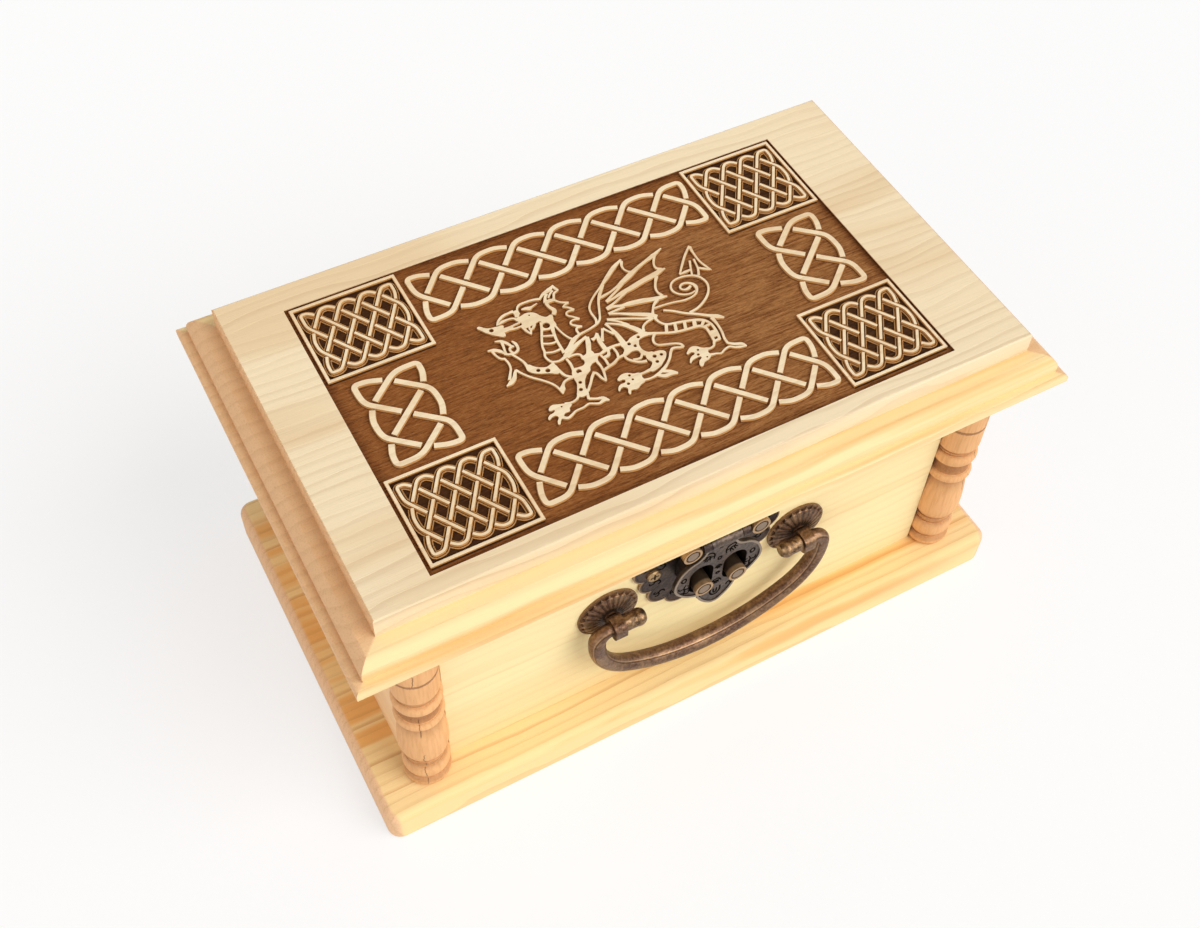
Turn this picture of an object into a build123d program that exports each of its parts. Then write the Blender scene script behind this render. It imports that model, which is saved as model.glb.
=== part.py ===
from build123d import *
from math import cos, radians, sin, sqrt
import os

os.makedirs("parts", exist_ok=True)

# A keepsake box in pine with four turned corner columns, a hinged lid with an
# engraved top panel, a drop handle and a hasp. All sizes are in millimetres.
# The origin is on the floor under the middle of the box. The front faces -Y.

# Walls: long boards at the front and back, end boards between the columns
wall_thickness = 17.5
inner_length = 233.0
inner_depth = 108.2
body_wall_height = 84.0
lid_wall_height = 30.0

# Base board
base_overhang = 17.2
base_thickness = 18.0
base_corner_radius = 6.0
base_top_round = 4.0
base_bottom_round = 1.5

# Turned columns, one in the notch at each corner: the barrel is their thickest
# part, and the other radii are given by how far they stand inside it
barrel_radius = 10.3
neck_inset = 1.9
collar_inset = 0.7
groove_inset = 2.6
groove_height = 1.1
foot_inset = 0.4
foot_height = 5.4
ring_inset = 0.4
ring_height = 9.5
band_inset = 1.8
band_height = 1.9
barrel_height = 29.5
barrel_swell = 8.5
bead_inset = 0.2
upper_bead_height = 5.0
cove_inset = 2.7
cove_height = 6.5
neck_bead_height = 6.5
fillet_height = 1.0
collar_swell = 3.6
cap_ring_height = 6.8
cap_rim_height = 0.6
shoulder = 1.3
fillet_step = 0.7

# Lid board with its routed edge, and the panel on top of it
panel_overhang_end = 6.0
panel_overhang_front = 7.4
panel_thickness = 9.5
panel_edge_round = 0.8
lid_board_thickness = 13.0
lip_overhang = 13.5
lip_thickness = 4.7
lip_round = 1.4
ovolo_overhang = 9.6
ovolo_quirk = 1.3
ledge_overhang = 5.8

# Sunk field of the engraved panel
field_length = 223.0
field_depth = 137.0
field_shift_x = -4.0
field_shift_y = -2.8
field_sink = 1.2

# Fits
running_clearance = 0.05
resting_gap = 0.3

# Screws
screw_head_radius = 3.2
screw_head_height = 1.4
screw_head_bevel = 0.6
screw_shank_radius = 1.2
screw_length = 9.0
cross_width = 0.9
cross_length = 3.9
cross_depth = 0.8

# Hasp plates: each round is its distance from the middle, its height above the
# closing level and its radius
plate_thickness = 1.2
closing_margin = 1.2
body_plate_rounds = [(27.0, -8.0, 7.0), (25.0, -18.0, 6.0), (19.0, -27.0, 7.6), (10.5, -33.0, 7.8)]
body_plate_tail = (0.0, -37.5, 8.0)
lid_plate_rounds = [(24.5, 8.0, 6.8), (18.0, 14.0, 6.4), (9.0, 18.0, 6.8)]
lid_plate_crown_radius = 7.0
lid_plate_crown_gap = 3.5
body_plate_screw = (24.8, -11.5)
lid_plate_screw = (25.0, 8.0)

# Hasp flap, hung on a pin under the lip of the lid
flap_stand_off = 8.6
flap_thickness = 1.4
flap_rim_width = 1.0
flap_rim_height = 0.5
flap_pivot_height = 11.0
flap_barrel_length = 13.6
hasp_knuckle_radius = 2.6
hasp_knuckle_length = 3.4
hasp_web_thickness = 2.4
hasp_pin_radius = 1.15
hasp_pin_end = 0.4
flap_neck_foot = 5.0
flap_shoulder = (12.0, -0.6)
flap_shoulder_sag = (8.4, 1.7)
flap_wing_top = (19.6, -9.4)
flap_wing_top_sag = (16.8, -4.0)
flap_wing_foot = (18.2, -19.4)
flap_wing_sag = (20.3, -14.6)
flap_waist = (9.4, -26.0)
flap_waist_sag = (14.4, -23.4)
flap_tongue_sag = (7.3, -30.8)
flap_tip = -36.8
flap_tip_radius = 4.4
flap_tip_turn = 46.0
well_x = 7.8
well_height = -17.7
well_rise = 6.6
well_radius = 5.5
well_wall = 1.1
well_floor = 1.2
post_radius = 4.1
post_reach = 13.2
post_groove_outer = 3.1
post_groove_inner = 2.5
post_groove_depth = 0.6
lid_post_gap = 0.4

# Drop handle: rosettes, eye posts, bail and ball nuts
handle_drop = 25.2
rosette_gap = 1.3
rosette_radius = 13.5
rosette_rim = 1.0
rosette_height = 3.4
rosette_crown_radius = 4.4
rosette_scallops = 22
scallop_radius = 1.8
scallop_bite = 2.0
stud_radius = 2.0
stud_depth = 12.0
neck_radius = 3.3
neck_length = 0.4
eye_width = 9.0
eye_corner = 3.0
eye_length = 5.2
bail_pin_radius = 2.8
bail_leg_radius = 3.6
bail_middle_radius = 4.2
bail_pin_run = 0.6
bail_elbow_radius = 5.6
bail_leg = 2.0
bail_shoulder_radius = 29.9
bail_shoulder_turn = 57.3
ball_radius = 3.8
ball_half_length = 2.9
ball_collar_length = 6.6
ball_collar_radius = 3.5
ball_pin_stop = 0.5

# Hinges at the back, with cranked leaves that carry the pin behind the columns
hinge_inset = 36.5
hinge_width = 26.0
hinge_flange_height = 15.0
hinge_leaf_thickness = 1.2
hinge_knuckle_radius = 2.5
hinge_pin_radius = 1.15
hinge_pin_end = 0.7
hinge_middle_knuckle = 8.6
hinge_column_gap = 0.6
hinge_screw_x = 7.5
hinge_screw_height = 9.0

# Levels and faces that follow from the sizes above
closing_level = base_thickness + body_wall_height
board_level = closing_level + lid_wall_height
panel_level = board_level + lid_board_thickness
front_face = inner_depth / 2 + wall_thickness
end_face = inner_length / 2 + wall_thickness
column_x = inner_length / 2 + barrel_radius
column_y = front_face
end_wall_depth = 2 * (column_y - barrel_radius)
base_length = 2 * (end_face + base_overhang)
base_depth = 2 * (front_face + base_overhang)
panel_length = 2 * (end_face + panel_overhang_end)
panel_depth = 2 * (front_face + panel_overhang_front)
collar_radius = barrel_radius - collar_inset
groove_radius = barrel_radius - groove_inset
foot_radius = barrel_radius - foot_inset
ring_radius = barrel_radius - ring_inset
band_radius = barrel_radius - band_inset
bead_radius = barrel_radius - bead_inset
neck_waist_radius = barrel_radius - neck_inset
cove_radius = barrel_radius - cove_inset
screw_hole_radius = screw_shank_radius + running_clearance
flap_pivot = (flap_stand_off + hasp_knuckle_radius, flap_pivot_height)
hasp_knuckle_x = flap_barrel_length / 2 + resting_gap
hasp_pin_half = hasp_knuckle_x + hasp_knuckle_length + hasp_pin_end
lid_post_x = hasp_pin_half + lid_post_gap + post_radius
lid_plate_crown = (0.0, lid_wall_height - lid_plate_crown_gap - lid_plate_crown_radius, lid_plate_crown_radius)
hinge_x = inner_length / 2 - hinge_inset
hinge_stand_off = collar_radius + hinge_column_gap
hinge_arm = hinge_stand_off - hinge_knuckle_radius - 1.5 * resting_gap

# The rosettes stand just clear of the second round of the hasp plate
plate_round_x, plate_round_height, plate_round_radius = body_plate_rounds[1]
rosette_reach = rosette_radius + rosette_gap + plate_round_radius
handle_x = plate_round_x + sqrt(rosette_reach**2 - (handle_drop + plate_round_height) ** 2)
handle_level = closing_level - handle_drop
handle_stand_off = rosette_height + neck_length + eye_width / 2
eye_inner = handle_x - eye_length / 2
eye_outer = handle_x + eye_length / 2
bail_half_width = eye_outer + bail_pin_run + bail_elbow_radius

# Working planes on the front and back faces: local X runs along the wall and
# local Y is the height above the closing level
front_plane = Plane(origin=(0, -front_face, closing_level), x_dir=(1, 0, 0), z_dir=(0, -1, 0))
back_plane = Plane(origin=(0, front_face, closing_level), x_dir=(-1, 0, 0), z_dir=(0, 1, 0))

# Places of the fasteners on those planes
body_plate_screws = [(side * body_plate_screw[0], body_plate_screw[1]) for side in (-1, 1)]
lid_plate_screws = [(side * lid_plate_screw[0], lid_plate_screw[1]) for side in (-1, 1)]
handle_posts = [(side * handle_x, -handle_drop) for side in (-1, 1)]
hinge_screws = [
    (hinge + side * hinge_screw_x, hinge_screw_height) for hinge in (-hinge_x, hinge_x) for side in (-1, 1)]
body_hinge_screws = [(x, -height) for x, height in hinge_screws]
sides = {"left": -1, "right": 1}
corners = {"front_left": (-1, -1), "front_right": (1, -1), "back_left": (-1, 1), "back_right": (1, 1)}


def save(piece, name):
    """Label a finished piece and write it to its own file."""
    piece.part.label = name
    export_step(piece.part, f"parts/{name}.step")


def bore(plane, centres, radius, depth):
    """Cut blind round holes into the part being built."""
    with BuildSketch(plane) as holes:
        with Locations(*centres):
            Circle(radius)
    extrude(holes.sketch, amount=-depth, mode=Mode.SUBTRACT)


def pan_screws(plane, centres):
    """Cross-headed screws whose heads bear on the given plane."""
    with BuildPart() as screws:
        with BuildSketch(plane):
            with Locations(*centres):
                Circle(screw_head_radius)
        extrude(amount=screw_head_height)
        chamfer(edges().group_by(Axis(plane.origin, plane.z_dir))[-1], length=screw_head_bevel)
        with BuildSketch(plane):
            with Locations(*centres):
                Circle(screw_shank_radius)
        extrude(amount=-screw_length)
        with BuildSketch(plane.offset(screw_head_height)):
            with Locations(*centres):
                Rectangle(cross_length, cross_width)
                Rectangle(cross_width, cross_length)
        extrude(amount=-cross_depth, mode=Mode.SUBTRACT)
    return screws


def ringed_posts(foot, centres):
    """Round posts with a ring groove in each end face, standing at one distance from the wall."""
    length = post_reach - foot
    with BuildPart() as posts:
        with BuildSketch(front_plane.offset(foot)):
            with Locations(*centres):
                Circle(post_radius)
        extrude(amount=length)
        with BuildSketch(front_plane.offset(post_reach)):
            with Locations(*centres):
                Circle(post_groove_outer)
                Circle(post_groove_inner, mode=Mode.SUBTRACT)
        extrude(amount=-post_groove_depth, mode=Mode.SUBTRACT)
    return posts


def scalloped_sketch(rounds, tail, cut_height):
    """A scalloped outline on the front face, cut straight near the closing level."""
    chain = [(x, height) for x, height, _ in rounds]
    mirrored = [(-x, height) for x, height in reversed(chain)]
    corner_x, corner_height = chain[0]
    with BuildSketch(front_plane) as outline:
        for x, height, radius in rounds:
            with Locations((x, height), (-x, height)):
                Circle(radius)
        with Locations(tail[:2]):
            Circle(tail[2])
        with BuildLine():
            Polyline(*chain, tail[:2], *mirrored, close=True)
        make_face()
        with Locations((0, (corner_height + cut_height) / 2)):
            Rectangle(2 * corner_x, abs(corner_height - cut_height))
        beyond = inner_length if cut_height < 0 else -inner_length
        with Locations((0, cut_height + beyond / 2)):
            Rectangle(inner_length, inner_length, mode=Mode.SUBTRACT)
    return outline


def long_wall(side, level, height, plane, screws):
    """A front or back board, or the rail above it, with its screw holes."""
    with BuildPart() as wall:
        with BuildSketch(Plane.XY.offset(level)):
            with Locations((0, side * (front_face - wall_thickness / 2))):
                Rectangle(inner_length, wall_thickness)
        extrude(amount=height)
        bore(plane, screws, screw_hole_radius, screw_length + running_clearance)
        if side < 0 and level < closing_level:
            bore(plane, handle_posts, stud_radius + running_clearance, stud_depth + running_clearance)
    return wall


def end_wall(side, level, height):
    """An end board, or the rail above it, between the front and back columns."""
    with BuildPart() as wall:
        with BuildSketch(Plane.XY.offset(level)):
            with Locations((side * (end_face - wall_thickness / 2), 0)):
                Rectangle(wall_thickness, end_wall_depth)
        extrude(amount=height)
    return wall


# Base board, rounded over along its top edges
with BuildPart() as base_board:
    with BuildSketch():
        RectangleRounded(base_length, base_depth, base_corner_radius)
    extrude(amount=base_thickness)
    fillet(faces().sort_by(Axis.Z)[-1].edges(), radius=base_top_round)
    fillet(faces().sort_by(Axis.Z)[0].edges(), radius=base_bottom_round)
save(base_board, "base_board")

# Walls of the body and rails of the lid, parted at the closing level
save(long_wall(-1, base_thickness, body_wall_height, front_plane, body_plate_screws), "front_wall")
save(long_wall(1, base_thickness, body_wall_height, back_plane, body_hinge_screws), "back_wall")
save(long_wall(-1, closing_level, lid_wall_height, front_plane, lid_plate_screws), "lid_front_rail")
save(long_wall(1, closing_level, lid_wall_height, back_plane, hinge_screws), "lid_back_rail")
for side_name, side in sides.items():
    save(end_wall(side, base_thickness, body_wall_height), f"{side_name}_end_wall")
    save(end_wall(side, closing_level, lid_wall_height), f"lid_{side_name}_rail")

# Turned columns: heights are measured up from the top of the base board
ring_foot = foot_height + groove_height
ring_top = ring_foot + ring_height
band_foot = ring_top + groove_height
barrel_foot = band_foot + band_height
barrel_top = barrel_foot + barrel_height
upper_bead_top = barrel_top + upper_bead_height
cove_top = upper_bead_top + cove_height
neck_bead_top = cove_top + neck_bead_height
fillet_foot = neck_bead_top + fillet_step
fillet_top = fillet_foot + fillet_height
collar_foot = fillet_top + fillet_step


def swelling(foot, top, end_radius, middle_radius):
    """One bead, ring or cove of a turned outline."""
    ThreePointArc((end_radius, foot), (middle_radius, (foot + top) / 2), (end_radius, top))


def body_column(x, y):
    """The ornamental lower length of a turned column."""
    with BuildPart() as column:
        with BuildSketch(Plane(origin=(x, y, base_thickness), x_dir=(1, 0, 0), z_dir=(0, -1, 0))):
            with BuildLine():
                Line((0, 0), (foot_radius - shoulder, 0))
                swelling(0, foot_height, foot_radius - shoulder, foot_radius)
                Polyline(
                    (foot_radius - shoulder, foot_height), (groove_radius, foot_height),
                    (groove_radius, ring_foot), (ring_radius - shoulder, ring_foot))
                swelling(ring_foot, ring_top, ring_radius - shoulder, ring_radius)
                Polyline(
                    (ring_radius - shoulder, ring_top), (groove_radius, ring_top), (groove_radius, band_foot),
                    (band_radius, band_foot), (band_radius, barrel_foot), (groove_radius, barrel_foot))
                ThreePointArc(
                    (groove_radius, barrel_foot),
                    ((3 * barrel_radius + groove_radius) / 4, barrel_foot + barrel_swell / 2),
                    (barrel_radius, barrel_foot + barrel_swell))
                ThreePointArc(
                    (barrel_radius, barrel_foot + barrel_swell),
                    ((3 * barrel_radius + neck_waist_radius) / 4, barrel_foot + (barrel_swell + barrel_height) / 2),
                    (neck_waist_radius, barrel_top))
                Line((neck_waist_radius, barrel_top), (bead_radius - shoulder, barrel_top))
                swelling(barrel_top, upper_bead_top, bead_radius - shoulder, bead_radius)
                Line((bead_radius - shoulder, upper_bead_top), (neck_waist_radius, upper_bead_top))
                swelling(upper_bead_top, cove_top, neck_waist_radius, cove_radius)
                Line((neck_waist_radius, cove_top), (bead_radius - shoulder, cove_top))
                swelling(cove_top, neck_bead_top, bead_radius - shoulder, bead_radius)
                Polyline(
                    (bead_radius - shoulder, neck_bead_top), (groove_radius, neck_bead_top),
                    (groove_radius, fillet_foot), (band_radius, fillet_foot), (band_radius, fillet_top),
                    (groove_radius, fillet_top), (groove_radius, collar_foot), (band_radius, collar_foot))
                ThreePointArc(
                    (band_radius, collar_foot), (collar_radius - shoulder / 4, collar_foot + collar_swell / 3),
                    (collar_radius, collar_foot + collar_swell))
                Polyline(
                    (collar_radius, collar_foot + collar_swell), (collar_radius, body_wall_height),
                    (0, body_wall_height), (0, 0))
            make_face()
        revolve(axis=Axis((x, y, 0), (0, 0, 1)))
    return column


def lid_column(x, y):
    """The upper length of a turned column, which lifts with the lid."""
    cap_top = lid_wall_height - cap_rim_height
    cap_foot = cap_top - cap_ring_height
    collar_top = cap_foot - groove_height
    with BuildPart() as column:
        with BuildSketch(Plane(origin=(x, y, closing_level), x_dir=(1, 0, 0), z_dir=(0, -1, 0))):
            with BuildLine():
                Polyline(
                    (0, 0), (collar_radius, 0), (collar_radius, collar_top), (groove_radius, collar_top),
                    (groove_radius, cap_foot), (ring_radius - shoulder, cap_foot))
                swelling(cap_foot, cap_top, ring_radius - shoulder, ring_radius)
                Polyline(
                    (ring_radius - shoulder, cap_top), (band_radius, cap_top), (band_radius, lid_wall_height),
                    (0, lid_wall_height), (0, 0))
            make_face()
        revolve(axis=Axis((x, y, 0), (0, 0, 1)))
    return column


for corner_name, (along, across) in corners.items():
    save(body_column(along * column_x, across * column_y), f"{corner_name}_column")
    save(lid_column(along * column_x, across * column_y), f"lid_{corner_name}_column")


# Lid board: one solid board whose four edges are routed to the same profile
def routed_section(plane, half_panel):
    """The routed cross-section of the lid board, drawn on an upright plane."""
    lip = half_panel + lip_overhang
    ovolo = half_panel + ovolo_overhang
    ledge = half_panel + ledge_overhang
    ovolo_foot = lip_thickness + ovolo_quirk
    ovolo_rise = lid_board_thickness - ovolo_foot
    turn = lip_round * (1 - sqrt(0.5))
    with BuildSketch(plane) as section:
        with BuildLine():
            Line((0, 0), (lip - lip_round, 0))
            ThreePointArc((lip - lip_round, 0), (lip - turn, turn), (lip, lip_round))
            Line((lip, lip_round), (lip, lip_thickness - lip_round))
            ThreePointArc(
                (lip, lip_thickness - lip_round), (lip - turn, lip_thickness - turn),
                (lip - lip_round, lip_thickness))
            Polyline((lip - lip_round, lip_thickness), (ovolo, lip_thickness), (ovolo, ovolo_foot))
            ThreePointArc(
                (ovolo, ovolo_foot),
                (ledge + (ovolo - ledge) * sqrt(0.5), ovolo_foot + ovolo_rise * sqrt(0.5)),
                (ledge, lid_board_thickness))
            Line((ledge, lid_board_thickness), (0, lid_board_thickness))
            mirror(about=Plane.YZ)
        make_face()
    return section


lid_half_length = panel_length / 2 + lip_overhang
lid_half_depth = panel_depth / 2 + lip_overhang
across_section = routed_section(
    Plane(origin=(-lid_half_length, 0, board_level), x_dir=(0, 1, 0), z_dir=(1, 0, 0)), panel_depth / 2)
along_section = routed_section(
    Plane(origin=(0, lid_half_depth, board_level), x_dir=(1, 0, 0), z_dir=(0, -1, 0)), panel_length / 2)
with BuildPart() as lid_board:
    extrude(across_section.sketch, amount=2 * lid_half_length)
    extrude(along_section.sketch, amount=2 * lid_half_depth, mode=Mode.INTERSECT)
save(lid_board, "lid_board")

# Engraved panel: the field is sunk and set a little toward the left and the front
with BuildPart() as lid_top_panel:
    with BuildSketch(Plane.XY.offset(panel_level)):
        Rectangle(panel_length, panel_depth)
    extrude(amount=panel_thickness)
    fillet(faces().sort_by(Axis.Z)[-1].edges(), radius=panel_edge_round)
    with BuildSketch(Plane.XY.offset(panel_level + panel_thickness)):
        with Locations((field_shift_x, field_shift_y)):
            Rectangle(field_length, field_depth)
    extrude(amount=-field_sink, mode=Mode.SUBTRACT)
save(lid_top_panel, "lid_top_panel")

# Hasp plate of the body and its screws
with BuildPart() as hasp_backplate:
    extrude(scalloped_sketch(body_plate_rounds, body_plate_tail, -closing_margin).sketch, amount=plate_thickness)
    bore(front_plane.offset(plate_thickness), body_plate_screws, screw_hole_radius, plate_thickness)
save(hasp_backplate, "hasp_backplate")
save(pan_screws(front_plane.offset(plate_thickness), body_plate_screws), "hasp_backplate_screws")


# Hasp plate of the lid, with the two knuckles that carry the flap
def side_plane(x):
    """An upright plane across the front: local X runs out from the wall, local Y up."""
    return Plane(origin=(x, -front_face, closing_level), x_dir=(0, -1, 0), z_dir=(-1, 0, 0))


with BuildPart() as hasp_lid_plate:
    extrude(scalloped_sketch(lid_plate_rounds, lid_plate_crown, closing_margin).sketch, amount=plate_thickness)
    bore(front_plane.offset(plate_thickness), lid_plate_screws, screw_hole_radius, plate_thickness)
    for outer_end in (-hasp_knuckle_x, hasp_knuckle_x + hasp_knuckle_length):
        with BuildSketch(side_plane(outer_end)):
            with Locations(flap_pivot):
                Circle(hasp_knuckle_radius)
            with Locations((flap_pivot[0] / 2, flap_pivot[1])):
                Rectangle(flap_pivot[0], hasp_web_thickness)
        extrude(amount=hasp_knuckle_length)
    with BuildSketch(side_plane(hasp_knuckle_x + hasp_knuckle_length)):
        with Locations(flap_pivot):
            Circle(hasp_pin_radius + running_clearance)
    extrude(amount=2 * (hasp_knuckle_x + hasp_knuckle_length), mode=Mode.SUBTRACT)
save(hasp_lid_plate, "hasp_lid_plate")
save(pan_screws(front_plane.offset(plate_thickness), lid_plate_screws), "hasp_lid_plate_screws")
save(ringed_posts(plate_thickness, [(-lid_post_x, flap_pivot_height), (lid_post_x, flap_pivot_height)]),
     "hasp_upper_posts")

with BuildPart() as hasp_pin:
    with BuildSketch(side_plane(hasp_pin_half)):
        with Locations(flap_pivot):
            Circle(hasp_pin_radius)
    extrude(amount=2 * hasp_pin_half)
save(hasp_pin, "hasp_pin")

# Hasp flap: a stamped plate with a raised rim, a rolled barrel at its head and
# two long wells that hold the knobs at their feet
wells = [(-well_x, well_height), (well_x, well_height)]
well_middles = [(x, height + well_rise / 2) for x, height in wells]
well_back = plate_thickness + resting_gap
flap_front = flap_stand_off + flap_thickness
with BuildPart() as hasp_flap:
    with BuildSketch(front_plane.offset(flap_stand_off)) as flap_outline:
        with BuildLine():
            Polyline(
                (0, flap_pivot_height), (flap_barrel_length / 2, flap_pivot_height),
                (flap_barrel_length / 2, flap_neck_foot))
            ThreePointArc((flap_barrel_length / 2, flap_neck_foot), flap_shoulder_sag, flap_shoulder)
            ThreePointArc(flap_shoulder, flap_wing_top_sag, flap_wing_top)
            ThreePointArc(flap_wing_top, flap_wing_sag, flap_wing_foot)
            ThreePointArc(flap_wing_foot, flap_waist_sag, flap_waist)
            tip_arc = CenterArc((0, flap_tip + flap_tip_radius), flap_tip_radius, -90, flap_tip_turn)
            ThreePointArc(flap_waist, flap_tongue_sag, tip_arc @ 1)
            mirror(about=Plane.YZ)
        make_face()
    extrude(amount=flap_thickness)
    with BuildSketch(front_plane.offset(flap_front)):
        add(flap_outline.sketch_local)
        offset(flap_outline.sketch_local, amount=-flap_rim_width, mode=Mode.SUBTRACT)
    extrude(amount=flap_rim_height)
    with BuildSketch(front_plane.offset(well_back)):
        with Locations(*well_middles):
            SlotCenterToCenter(well_rise, 2 * (well_radius + well_wall), rotation=90)
    extrude(amount=flap_stand_off - well_back)
    with BuildSketch(front_plane.offset(flap_front)):
        with Locations(*well_middles):
            SlotCenterToCenter(well_rise, 2 * well_radius, rotation=90)
    extrude(amount=well_back + well_floor - flap_front, mode=Mode.SUBTRACT)
    with BuildSketch(side_plane(flap_barrel_length / 2)):
        with Locations(flap_pivot):
            Circle(hasp_knuckle_radius)
    extrude(amount=flap_barrel_length)
    with BuildSketch(side_plane(flap_barrel_length / 2)):
        with Locations(flap_pivot):
            Circle(hasp_pin_radius + running_clearance)
    extrude(amount=flap_barrel_length, mode=Mode.SUBTRACT)
save(hasp_flap, "hasp_flap")
save(ringed_posts(well_back + well_floor, wells), "hasp_flap_knobs")

# Handle: a domed rosette and an eye post on each side of the hasp
def rosette(x):
    """A low dome of petals on a plain round rim."""
    with BuildPart() as dome:
        with BuildSketch(Plane(origin=(x, -front_face, handle_level), x_dir=(1, 0, 0), z_dir=(0, 0, -1))):
            with BuildLine():
                Polyline((stud_radius + running_clearance, rosette_height), (stud_radius + running_clearance, 0),
                         (rosette_radius, 0), (rosette_radius, rosette_rim))
                ThreePointArc(
                    (rosette_radius, rosette_rim),
                    ((rosette_radius + rosette_crown_radius) / 2, rosette_rim + rosette_height / 2),
                    (rosette_crown_radius, rosette_height))
                Line((rosette_crown_radius, rosette_height), (stud_radius + running_clearance, rosette_height))
            make_face()
        revolve(axis=Axis((x, -front_face, handle_level), (0, -1, 0)))
        petal_plane = Plane(origin=(x, -front_face - rosette_rim, handle_level), x_dir=(1, 0, 0), z_dir=(0, -1, 0))
        with BuildSketch(petal_plane):
            with PolarLocations(rosette_radius + scallop_radius - scallop_bite, rosette_scallops):
                Circle(scallop_radius)
        extrude(amount=rosette_height, mode=Mode.SUBTRACT)
    return dome


def eye_post(x):
    """A stud into the wall, a neck on the rosette and an eye for the bail's pin."""
    post_plane = Plane(origin=(x, -front_face, handle_level), x_dir=(1, 0, 0), z_dir=(0, -1, 0))
    with BuildPart() as post:
        with BuildSketch(post_plane.offset(-stud_depth)):
            Circle(stud_radius)
        extrude(amount=stud_depth + rosette_height)
        with BuildSketch(post_plane.offset(rosette_height)):
            Circle(neck_radius)
        extrude(amount=neck_length)
        with BuildSketch(side_plane(x + eye_length / 2)):
            with Locations((handle_stand_off, -handle_drop)):
                RectangleRounded(eye_width, eye_width, eye_corner)
        extrude(amount=eye_length)
        with BuildSketch(side_plane(x + eye_length / 2)):
            with Locations((handle_stand_off, -handle_drop)):
                Circle(bail_pin_radius + running_clearance)
        extrude(amount=eye_length, mode=Mode.SUBTRACT)
    return post


for side_name, side in sides.items():
    save(rosette(side * handle_x), f"handle_rosette_{side_name}")
    save(eye_post(side * handle_x), f"handle_post_{side_name}")

# Bail: straight pins through the eyes, tight elbows, and a bow of two radii
# that thickens toward the middle of the grip
elbow_x = bail_half_width - bail_elbow_radius
ball_x = eye_inner - resting_gap - ball_collar_length
leg_foot = bail_elbow_radius + bail_leg
shoulder_turn = radians(bail_shoulder_turn)
shoulder_x = bail_half_width - bail_shoulder_radius * (1 - cos(shoulder_turn))
grip_radius = shoulder_x / cos(shoulder_turn)
bail_plane = Plane(
    origin=(0, -front_face - handle_stand_off, handle_level), x_dir=(1, 0, 0), z_dir=(0, -1, 0))
bail_axis = Axis(bail_plane.origin, (1, 0, 0))


def round_section(path, end, radius):
    """A round section square to one end of a path."""
    with BuildSketch(Plane(origin=path @ end, z_dir=path % end)) as section:
        Circle(radius)
    return section.sketch


with BuildPart() as bail_handle:
    with BuildSketch(Plane(origin=bail_plane.from_local_coords((ball_x + ball_pin_stop, 0, 0)), z_dir=(1, 0, 0))):
        Circle(bail_pin_radius)
    extrude(amount=elbow_x - ball_x - ball_pin_stop)
    with BuildLine(bail_plane) as elbow:
        JernArc((elbow_x, 0), (1, 0), bail_elbow_radius, -90)
    elbow_ends = [round_section(elbow.line, 0, bail_pin_radius), round_section(elbow.line, 1, bail_leg_radius)]
    sweep(sections=elbow_ends, path=elbow.line, multisection=True)
    with BuildLine(bail_plane) as bow:
        leg = Line((bail_half_width, -bail_elbow_radius), (bail_half_width, -leg_foot))
        shoulder_arc = JernArc(leg @ 1, leg % 1, bail_shoulder_radius, -bail_shoulder_turn)
        JernArc(shoulder_arc @ 1, shoulder_arc % 1, grip_radius, bail_shoulder_turn - 90)
    bow_ends = [round_section(bow.line, 0, bail_leg_radius), round_section(bow.line, 1, bail_middle_radius)]
    sweep(sections=bow_ends, path=bow.line, multisection=True)
    mirror(about=Plane.YZ)
save(bail_handle, "bail_handle")

# Ball nuts on the inner ends of the bail's pins
with BuildPart() as bail_ball_nuts:
    with BuildSketch(bail_plane):
        with Locations((ball_x, 0)):
            Circle(ball_radius)
            Rectangle(2 * ball_half_length, 2 * ball_radius, mode=Mode.INTERSECT)
        with Locations((ball_x + ball_collar_length / 2, 0)):
            Rectangle(ball_collar_length, 2 * ball_collar_radius)
        with Locations((ball_x + ball_pin_stop + ball_collar_length / 2, 0)):
            Rectangle(ball_collar_length, 2 * (bail_pin_radius + running_clearance), mode=Mode.SUBTRACT)
        with Locations((ball_x, -ball_radius)):
            Rectangle(4 * ball_collar_length, 2 * ball_radius, mode=Mode.SUBTRACT)
    revolve(axis=bail_axis)
    mirror(about=Plane.YZ)
save(bail_ball_nuts, "bail_ball_nuts")


# Hinges: the body leaf has the two outer knuckles and the lid leaf the middle one
def hinge_side_plane(x):
    """An upright plane across the back: local X runs out from the wall, local Y up."""
    return Plane(origin=(x, front_face, closing_level), x_dir=(0, 1, 0), z_dir=(1, 0, 0))


outer_knuckle_start = hinge_middle_knuckle / 2 + resting_gap
outer_knuckle_length = hinge_width / 2 - outer_knuckle_start


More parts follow.
